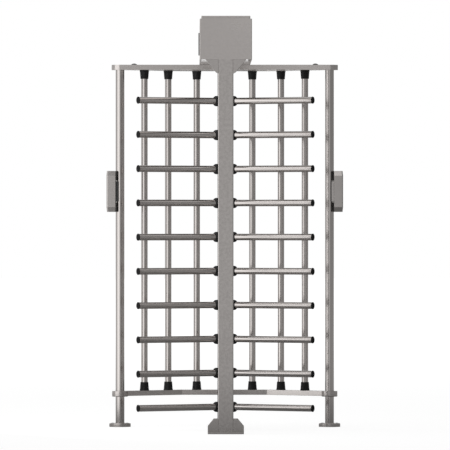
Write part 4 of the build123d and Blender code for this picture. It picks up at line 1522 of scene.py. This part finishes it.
@dataclass
class Electrics(Assembly):
    """Control case and power supply on the head's floor."""

    floor: float = 2.115
    case_half: float = 0.100
    case_y: Pair = (-0.672, -0.462)
    case_top: float = 2.195
    case_corner: Rounding = (0.006, 4)
    joint: Pair = (2.176, 2.178)
    joint_share: float = 0.984
    screw_inset: float = 0.008
    gland_x: tuple[float, ...] = (-0.062, -0.03, 0.03, 0.062)
    gland_rise: float = 0.022
    gland_profile: Profile = (
        (0.009, 0.006), (0.009, 0.012), (0.0082, 0.0155), (0.0066, 0.0172), (0.0048, 0.0175),
        (0.0044, 0.0150), (0.002, 0.0145),
    )
    light_profile: Profile = ((0.0026, 0.0), (0.0024, 0.0012), (0.0014, 0.002))
    supply_half: float = 0.080
    supply_y: Pair = (-0.437, -0.327)
    supply_top: float = 2.175
    slots: int = 9
    slot_share: float = 0.4
    slot_margin: float = 0.012
    slot_depth: float = 0.009
    slot_rows: tuple[Pair, ...] = ((-0.425, -0.388), (-0.376, -0.339))
    terminals: int = 8
    strip_half: float = 0.056
    strip_depth: float = 0.015
    strip_z: Pair = (2.119, 2.137)
    bay_depth: float = 0.006

    def control_case(self) -> None:
        """Powder-coated case whose cover sits on a shadow joint."""
        (front, rear), half = self.case_y, self.case_half
        case = block("control_case", (-half, front, self.floor), (half, rear, self.case_top))
        press(case, looks(Z), 0.014, (0, 0, -0.0015))
        round_edges(case, runs(Z, lambda spot: abs(spot.x) > half - 0.001), *self.case_corner)
        score(case, Z, *self.joint)
        low, high = self.joint
        with editing(case, Part.FACE, lambda spot, way: low < spot.z < high):
            bpy.ops.mesh.extrude_region_move(TRANSFORM_OT_translate={"value": (0, 0, 0)})
            centre = (0, (front + rear) / 2, (low + high) / 2)
            share = self.joint_share
            bpy.ops.transform.resize(value=(share, share, 1), center_override=centre)
        bevel(case, 0.0008, 2)
        deliver(case, POWDER, "control_box")

    def case_fittings(self) -> None:
        """Cover screws, cable glands and status lights of the control case."""
        (front, rear), inset = self.case_y, self.screw_inset
        reach = self.case_half - inset
        corners = [
            at(a * reach, y, self.case_top) for a in SIDES for y in (front + inset, rear - inset)
        ]
        deliver(repeat("case_screws", self.fasteners.button_screw(0.0036), corners), ZINC)
        nut = bevel(turned("gland_nut", [(0.0105, 0.0), (0.0105, 0.006)], 6), 0.0008, 2)
        gland = join("case_gland", [nut, turned("dome", self.gland_profile, 28)])
        places = [facing((x, rear, self.floor + self.gland_rise), (0, 1, 0)) for x in self.gland_x]
        deliver(repeat("case_glands", gland, places), CASE_PLASTIC)
        for name, finish, row in (
            ("case_lights_green", GREEN_LAMP, (-0.024, -0.008)),
            ("case_lights_red", RED_LAMP, (0.008,)),
        ):
            light = turned("light", self.light_profile, 16)
            places = [at(x, rear - 0.03, self.case_top - 0.0015) for x in row]
            deliver(repeat(name, light, places), finish)

    def supply(self) -> None:
        """Folded aluminium cover with two rows of vent slots."""
        (front, rear), half = self.supply_y, self.supply_half
        cover = block("supply_cover", (-half, front, self.floor), (half, rear, self.supply_top))
        round_edges(cover, lambda spot, way: spot.z > self.supply_top - NEAR, 0.0022, 4)
        pitch = 2 * (half - self.slot_margin) / self.slots
        starts = [-half + self.slot_margin + pitch * (step + 0.3) for step in range(self.slots)]
        width = pitch * self.slot_share
        for x in starts:
            score(cover, X, x, x + width)
        for row in self.slot_rows:
            score(cover, Y, *row)

        def in_slot(spot: Vector) -> bool:
            """Tell a place inside a slot."""
            across = any(x < spot.x < x + width for x in starts)
            return across and any(a < spot.y < b for a, b in self.slot_rows)

        press(cover, looks(Z, where=in_slot), 0.0, (0, 0, -self.slot_depth))
        deliver(cover, ALLOY, "power_supply")

    def terminal_strip(self) -> None:
        """Moulded strip of screw terminals behind the supply."""
        rear, half = self.supply_y[1], self.strip_half
        base, top = self.strip_z
        strip = block("supply_terminals", (-half, rear, base), (half, rear + self.strip_depth, top))
        pitch = 2 * half / self.terminals
        for step in range(self.terminals):
            left = -half + pitch * step
            score(strip, X, left + 0.0015, left + pitch - 0.0015)
        bay = looks(Z, where=lambda spot: 0.002 < (spot.x + half) % pitch < pitch - 0.002)
        press(strip, bay, 0.0, (0, 0, -self.bay_depth))
        deliver(strip, CASE_PLASTIC)
        y, z = rear + self.strip_depth / 2, top - self.bay_depth
        places = [at(-half + pitch * (step + 0.5), y, z) for step in range(self.terminals)]
        deliver(repeat("terminal_screws", self.fasteners.button_screw(0.0032), places), NICKEL)

    def build(self) -> None:
        """Make the case, the supply and their fittings."""
        self.control_case()
        self.case_fittings()
        self.supply()
        self.terminal_strip()


@dataclass
class Solenoids(Assembly):
    """The pair of lock solenoids, each a coil in a bent steel frame on a cast foot."""

    middle: Pair = (-0.0605, -0.1848)
    line_z: float = 2.186
    turn: float = 240.0
    half_length: float = 0.030
    half_width: float = 0.025
    half_height: float = 0.025
    sheet: float = 0.003
    bore: float = 0.0078
    flange: float = 0.0224
    flange_thickness: float = 0.0020
    foot_half: float = 0.018
    foot_low: float = -0.059
    winding: Pair = (0.0200, 0.0206)
    wire_pitch: float = 0.0020

    def bracket(self) -> Piece:
        """Make the U-shaped steel frame, open at its sides and top, bored for the plunger.

        Returns:
            The frame.
        """
        corner = (self.half_length, self.half_width, self.half_height)
        bent = block("coil_bracket", [-value for value in corner], corner)
        cut_away(bent, lambda spot, way: abs(way.y) > SQUARE or way.z > SQUARE)
        round_edges(bent, runs(Y, lambda spot: spot.z < 0), 0.003, 3)
        thicken(bent, self.sheet)
        drill_through(bent, self.bore, 0.04, facing((0, 0, 0), (1, 0, 0)), 28)
        return bevel(bent, 0.0005, 2)

    def bobbin(self) -> Piece:
        """Make the moulded flanges at both ends of the winding.

        Returns:
            The flanges.
        """
        reach = self.half_length - self.sheet - 0.0002
        bore, rim, thick, ease = self.bore, self.flange, self.flange_thickness, 0.0004
        rings = [(bore, 0.0), (rim - ease, 0.0), (rim, ease), (rim, thick - ease)]
        rings += [(rim - ease, thick), (bore, thick), (bore, 0.0)]
        flange = turned("flange", rings, 32, bored=True)
        places = [facing((-reach, 0, 0), (1, 0, 0)), facing((reach, 0, 0), (-1, 0, 0))]
        return repeat("coil_bobbin", flange, places)

    def wound_coil(self) -> Piece:
        """Make the enamelled winding with its turns standing out.

        Returns:
            The winding.
        """
        reach, bore, wire = self.half_length - 0.0053, self.bore + 0.003, self.wire_pitch
        low, high = self.winding
        steps = int(2 * reach / wire)
        rings = [(bore, 0.0)]
        for step in range(steps):
            start = 2 * reach * step / steps
            rings += [(low, start), (high, start + wire * 0.3), (high, start + wire * 0.7)]
        rings += [(low, 2 * reach), (bore, 2 * reach), (bore, 0.0)]
        coil = turned("coil_winding", rings, 28, bored=True)
        return settle(coil, facing((-reach, 0, 0), (1, 0, 0)))

    def foot(self) -> Piece:
        """Make the cast foot with a hollow in both flanks.

        Returns:
            The foot.
        """
        low = (-self.foot_half, -self.half_width, self.foot_low)
        foot = block("coil_foot", low, (self.foot_half, self.half_width, -self.half_height))
        for sign in SIDES:
            press(foot, looks(X, sign), 0.005, (-sign * 0.006, 0, 0))
        return bevel(foot, 0.0012, 3)

    def build(self) -> None:
        """Make both solenoids, the right one a mirror of the left."""
        place = at(*self.middle, self.line_z, self.turn)
        for name, make, finish, nodes in (
            ("coil_brackets", self.bracket, ZINC, ("solenoids",)),
            ("coil_bobbins", self.bobbin, CASE_PLASTIC, ()),
            ("coil_windings", self.wound_coil, COPPER, ()),
            ("coil_feet", self.foot, CAST, ()),
        ):
            left = repeat(name, make(), [place])
            deliver(pair(name, left), finish, *nodes)


@dataclass
class Mechanism(Assembly):
    """Lock plate, bearing, pulleys and drive motor inside the head."""

    plate_top: float = 2.127
    plate_bolt_x: float = 0.128
    plate_bolt_y: tuple[float, ...] = (-0.220, -0.110, 0.100, 0.285)
    housing_flange: float = 2.141
    housing_circle: float = 0.0575
    disc_top: float = 2.192
    disc_circle: float = 0.042
    pulley_top: float = 2.239
    hub_profile: Profile = (
        (0.0252, 0.0), (0.0385, 0.0), (0.0392, 0.0008), (0.0392, 0.0100), (0.0380, 0.0112),
        (0.0262, 0.0112), (0.0252, 0.0104), (0.0252, 0.0),
    )
    hub_height: float = 0.0112
    hub_circle: float = 0.0322
    washer_profile: Profile = ((0.0125, 0.0), (0.0128, 0.0003), (0.0128, 0.0018), (0.0122, 0.0022))
    washer_height: float = 0.0022
    motor_y: float = 0.230
    motor_radius: float = 0.045
    motor_rib: float = 0.0405
    motor_ribs: int = 6
    rib_start: float = 0.0112
    rib_pitch: float = 0.0062
    terminal_x: Pair = (-0.066, -0.039)
    terminal_half: float = 0.019
    terminal_z: Pair = (0.010, 0.044)

    def screws(self) -> None:
        """Hexagon screws of the plate, the bearing housing and the notched disc."""
        hexagon = self.fasteners.hex_screw
        spots = [
            at(side * self.plate_bolt_x, y, self.plate_top, 17 * index)
            for index, y in enumerate(self.plate_bolt_y)
            for side in SIDES
        ]
        spots += circle(AXIS, self.housing_circle, self.housing_flange, 4, 45.0)
        deliver(repeat("plate_screws", hexagon(0.0065, 0.0045), spots), ZINC)
        spots = circle(AXIS, self.disc_circle, self.disc_top, 6, 15.0)
        deliver(repeat("disc_screws", hexagon(0.0050, 0.0040), spots), ZINC, body=Body.ROTOR)

    def hubs(self) -> None:
        """Clamping hub on the rotor's pulley and the end screw on the motor's."""
        hub = turned("pulley_hub", self.hub_profile, 48, bored=True)
        settle(hub, at(0, 0, self.pulley_top))
        deliver(hub, MACHINED, body=Body.ROTOR)
        spots = circle(AXIS, self.hub_circle, self.pulley_top + self.hub_height, 3, 30.0)
        grub = repeat("hub_screws", self.fasteners.button_screw(0.0038), spots)
        deliver(grub, ZINC, body=Body.ROTOR)
        washer = turned("end_washer", self.washer_profile, 32)
        head = self.fasteners.hex_screw(0.0065, 0.0045)
        settle(head, facing((0, 0, self.washer_height), (0, 0, 1)))
        end = join("motor_pulley_screw", [washer, head])
        settle(end, at(0, self.motor_y, self.pulley_top))
        deliver(end, ZINC, body=Body.DRIVE_SHAFT)

    def motor(self) -> None:
        """Finned motor case with its terminal box."""
        wide, deep = self.motor_radius, self.motor_rib
        rings = [(0.0085, 0.0), (wide, 0.0), (wide, 0.0060), (wide - 0.001, 0.0068), (deep, 0.0080)]
        for rib in range(self.motor_ribs):
            z = self.rib_start + self.rib_pitch * rib
            rings += [(deep, z), (wide, z + 0.0006), (wide, z + 0.0024), (deep, z + 0.0030)]
        rings += [(deep, 0.0490), (wide - 0.001, 0.0500), (wide - 0.001, 0.0590)]
        rings += [(wide - 0.003, 0.0620), (0.0180, 0.0620), (0.0170, 0.0600), (0.0085, 0.0600)]
        rings.append(rings[0])
        case = turned("motor_case", rings, 64, bored=True)
        settle(case, at(0, self.motor_y, self.plate_top))
        deliver(case, CAST, "drive_motor")
        (left, right), (base, top), half = self.terminal_x, self.terminal_z, self.terminal_half
        low = (left, self.motor_y - half, self.plate_top + base)
        box = block("motor_terminal_box", low, (right, self.motor_y + half, self.plate_top + top))
        press(box, looks(Z), 0.003, (0, 0, -0.0012))
        bevel(box, 0.0012, 3)
        deliver(box, CASE_PLASTIC)

    def build(self) -> None:
        """Make the mechanism's pieces and dress its frame nodes."""
        self.screws()
        self.hubs()
        self.motor()
        dress(ZINC, "mechanism_plate", "pawl_left", "pawl_right", "lid_keeper", "lock_cam")
        dress(MACHINED, "lock_disc", "upper_bearing", "pawl_pins", "plunger_left", "plunger_right")
        dress(CAST, "upper_bearing_housing")
        dress(PULLEY, "rotor_pulley", "motor_pulley")
        dress(BELT, "drive_belt")
        dress(NICKEL, "cable_gland", "lock_barrel", "lock_plug")


# --- studio ---


@dataclass(frozen=True)
class SoftBox:
    """Area light: its centre, the way it shines, its width and height, its face's brightness."""

    name: str
    place: Point
    aim: Point
    size: Pair
    level: float

    def hang(self) -> None:
        """Put the light into the scene, out of the camera's sight."""
        wide, high = self.size
        data = bpy.data.lights.new(self.name, "AREA")
        data.shape = "RECTANGLE"
        data.size, data.size_y = wide, high
        data.energy = self.level * math.pi * wide * high
        light = bpy.data.objects.new(self.name, data)
        light.rotation_euler = Vector(self.aim).to_track_quat("-Z", "Y").to_euler()
        light.location = self.place
        light.visible_camera = False
        bpy.context.scene.collection.objects.link(light)


@dataclass
class Studio:
    """Pale floor, soft lights, surroundings and camera."""

    camera_place: Point = (-0.175, -31.68, 1.2125)
    lens: float = 440.0
    shift: Pair = (0.06716, -0.0133)
    left_level: float = 0.62
    front_level: float = 0.56
    dim_level: float = 0.29
    ceiling_level: float = 0.32
    floor_size: float = 160.0
    floor_drop: float = 0.0005
    floor_colour: float = 0.3
    floor_glow: float = 0.86
    floor_mirror: float = 0.05
    behind: Pair = (0.8, 0.9)
    lights: tuple[SoftBox, ...] = (
        SoftBox("left_softbox", (-1.26, -0.53, 2.25), (0.87, 0.494, 0), (1.47, 4.4), 0.8),
        SoftBox("top_softbox", (-1.075, 1.25, 3.4), (0, 0, -1), (2.05, 5.5), 0.5),
        SoftBox("side_softbox", (1.6, 0.1, 3.2), (-0.64, 0, -0.77), (2.6, 1.1), 0.32),
        SoftBox("front_softbox", (0.75, -2.7, 3.05), (0, 0.87, -0.5), (0.9, 1.1), 0.85),
    )

    def camera(self) -> None:
        """Long lens, level, straight at the comb post."""
        data = bpy.data.cameras.new("camera")
        data.lens = self.lens
        data.shift_x, data.shift_y = self.shift
        data.clip_end = 400.0
        camera = bpy.data.objects.new("camera", data)
        camera.location = self.camera_place
        camera.rotation_euler = (math.radians(90), 0, 0)
        bpy.context.scene.collection.objects.link(camera)
        bpy.context.scene.camera = camera

    def round_level(self, board: Board, parts: bpy.types.bpy_prop_collection) -> Socket:
        """Light that comes from each side: white behind, pale to the left, dim to the right.

        Args:
            board: Node tree that it is worked out in.
            parts: X, Y and Z sockets of the direction, seen from the axis.

        Returns:
            Grey of that direction.
        """
        depth = board.math("MULTIPLY", parts["Y"], -1.0, clamp=False)
        turn = board.math("ARCTAN2", parts["X"], depth, clamp=False)
        ramp = board.node("ShaderNodeValToRGB", {0: board.span(turn, -math.pi, math.pi)})
        left, front, dim = self.left_level, self.front_level, self.dim_level
        stops = [(-180, 1.0), (-170, 1.0), (-163, left), (-60, left), (-20, front), (4, front)]
        stops += [(16, dim), (163, dim), (170, 1.0), (180, 1.0)]
        elements = ramp.color_ramp.elements
        while len(elements) < len(stops):
            elements.new(0.5)
        for element, (angle, level) in zip(elements, stops):
            element.position = (angle + 180) / 360
            element.color = (level, level, level, 1.0)
        return ramp.outputs[0]

    def surroundings(self) -> None:
        """White behind, pale to the left, dim to the right and above, for all that reflects."""
        world = bpy.data.worlds.new("studio")
        bpy.context.scene.world = world
        board = empty_board(world)
        way = board.node("ShaderNodeTexCoord").outputs["Generated"]
        parts = board.node("ShaderNodeSeparateXYZ", {0: way}).outputs
        behind = board.span(parts["Y"], *self.behind)
        lifted = board.math("MULTIPLY", behind, board.span(parts["Z"], 0.1, 0.2))
        high = board.math("MAXIMUM", board.span(parts["Z"], 0.3, 0.6), lifted)
        level = board.mix(high, self.round_level(board, parts), (*[self.ceiling_level] * 3, 1.0))
        path = board.node("ShaderNodeLightPath").outputs
        seen = board.math("ADD", path["Is Camera Ray"], path["Is Transmission Ray"])
        colour = board.mix(seen, level, (1.0, 1.0, 1.0, 1.0))
        back = board.node("ShaderNodeBackground", {"Color": colour, "Strength": 1.0})
        board.node("ShaderNodeOutputWorld", {"Surface": back.outputs[0]})

    def floor(self) -> None:
        """Pale floor that keeps the shadows."""
        bpy.ops.object.select_all(action="DESELECT")
        bpy.ops.mesh.primitive_plane_add(size=self.floor_size, location=(0, 0, -self.floor_drop))
        plane = bpy.context.object
        plane.name = "floor"
        settle(plane)
        made = bpy.data.materials.new("pale_floor")
        board = empty_board(made)
        matt = board.node("ShaderNodeBsdfDiffuse", {"Color": (*[self.floor_colour] * 3, 1.0)})
        path = board.node("ShaderNodeLightPath").outputs
        place = board.node("ShaderNodeTexCoord").outputs["Object"]
        reach = board.node("ShaderNodeVectorMath", {0: place}, operation="LENGTH").outputs["Value"]
        parts = board.node("ShaderNodeSeparateXYZ", {0: place}).outputs
        depth = board.math("DIVIDE", parts["Y"], reach, clamp=False)
        near = board.span(reach, 8.0, 20.0, 1.0, 0.0)
        behind = board.math("MULTIPLY", board.span(depth, *self.behind), near)
        shown = board.math("SUBTRACT", board.span(reach, 1.2, 7.0), behind)
        mirror = (*[self.floor_mirror] * 3, 1.0)
        mirrored = board.mix(shown, mirror, self.round_level(board, parts))
        direct = board.span(reach, 3.0, 25.0, self.floor_glow, 1.0)
        seen = board.math("ADD", path["Is Camera Ray"], path["Is Transmission Ray"])
        strength = board.mix(seen, board.math("MULTIPLY", path["Is Glossy Ray"], mirrored), direct)
        glow = board.node("ShaderNodeEmission", {"Strength": strength})
        both = board.node("ShaderNodeAddShader", {0: matt.outputs[0], 1: glow.outputs[0]})
        board.node("ShaderNodeOutputMaterial", {"Surface": both.outputs[0]})
        plane.data.materials.append(made)

    def build(self) -> None:
        """Set up the whole studio."""
        self.camera()
        self.surroundings()
        self.floor()
        for light in self.lights:
            light.hang()
        bpy.context.scene.view_settings.view_transform = "Standard"


def main() -> None:
    """Build everything in order."""
    logging.basicConfig(level=logging.INFO, format="%(name)s: %(message)s")
    for effect in (brushing_effect, handling_effect, edge_effect, dust_effect, pitting_effect):
        effect()
    Studio().build()
    fasteners = Fasteners()
    for assembly in (HeadBox, Comb, Rotor, Guard, Readers, Electrics, Solenoids, Mechanism):
        log.info("building %s", assembly.__name__)
        assembly(fasteners).build()


if __name__ == "__main__":
    main()
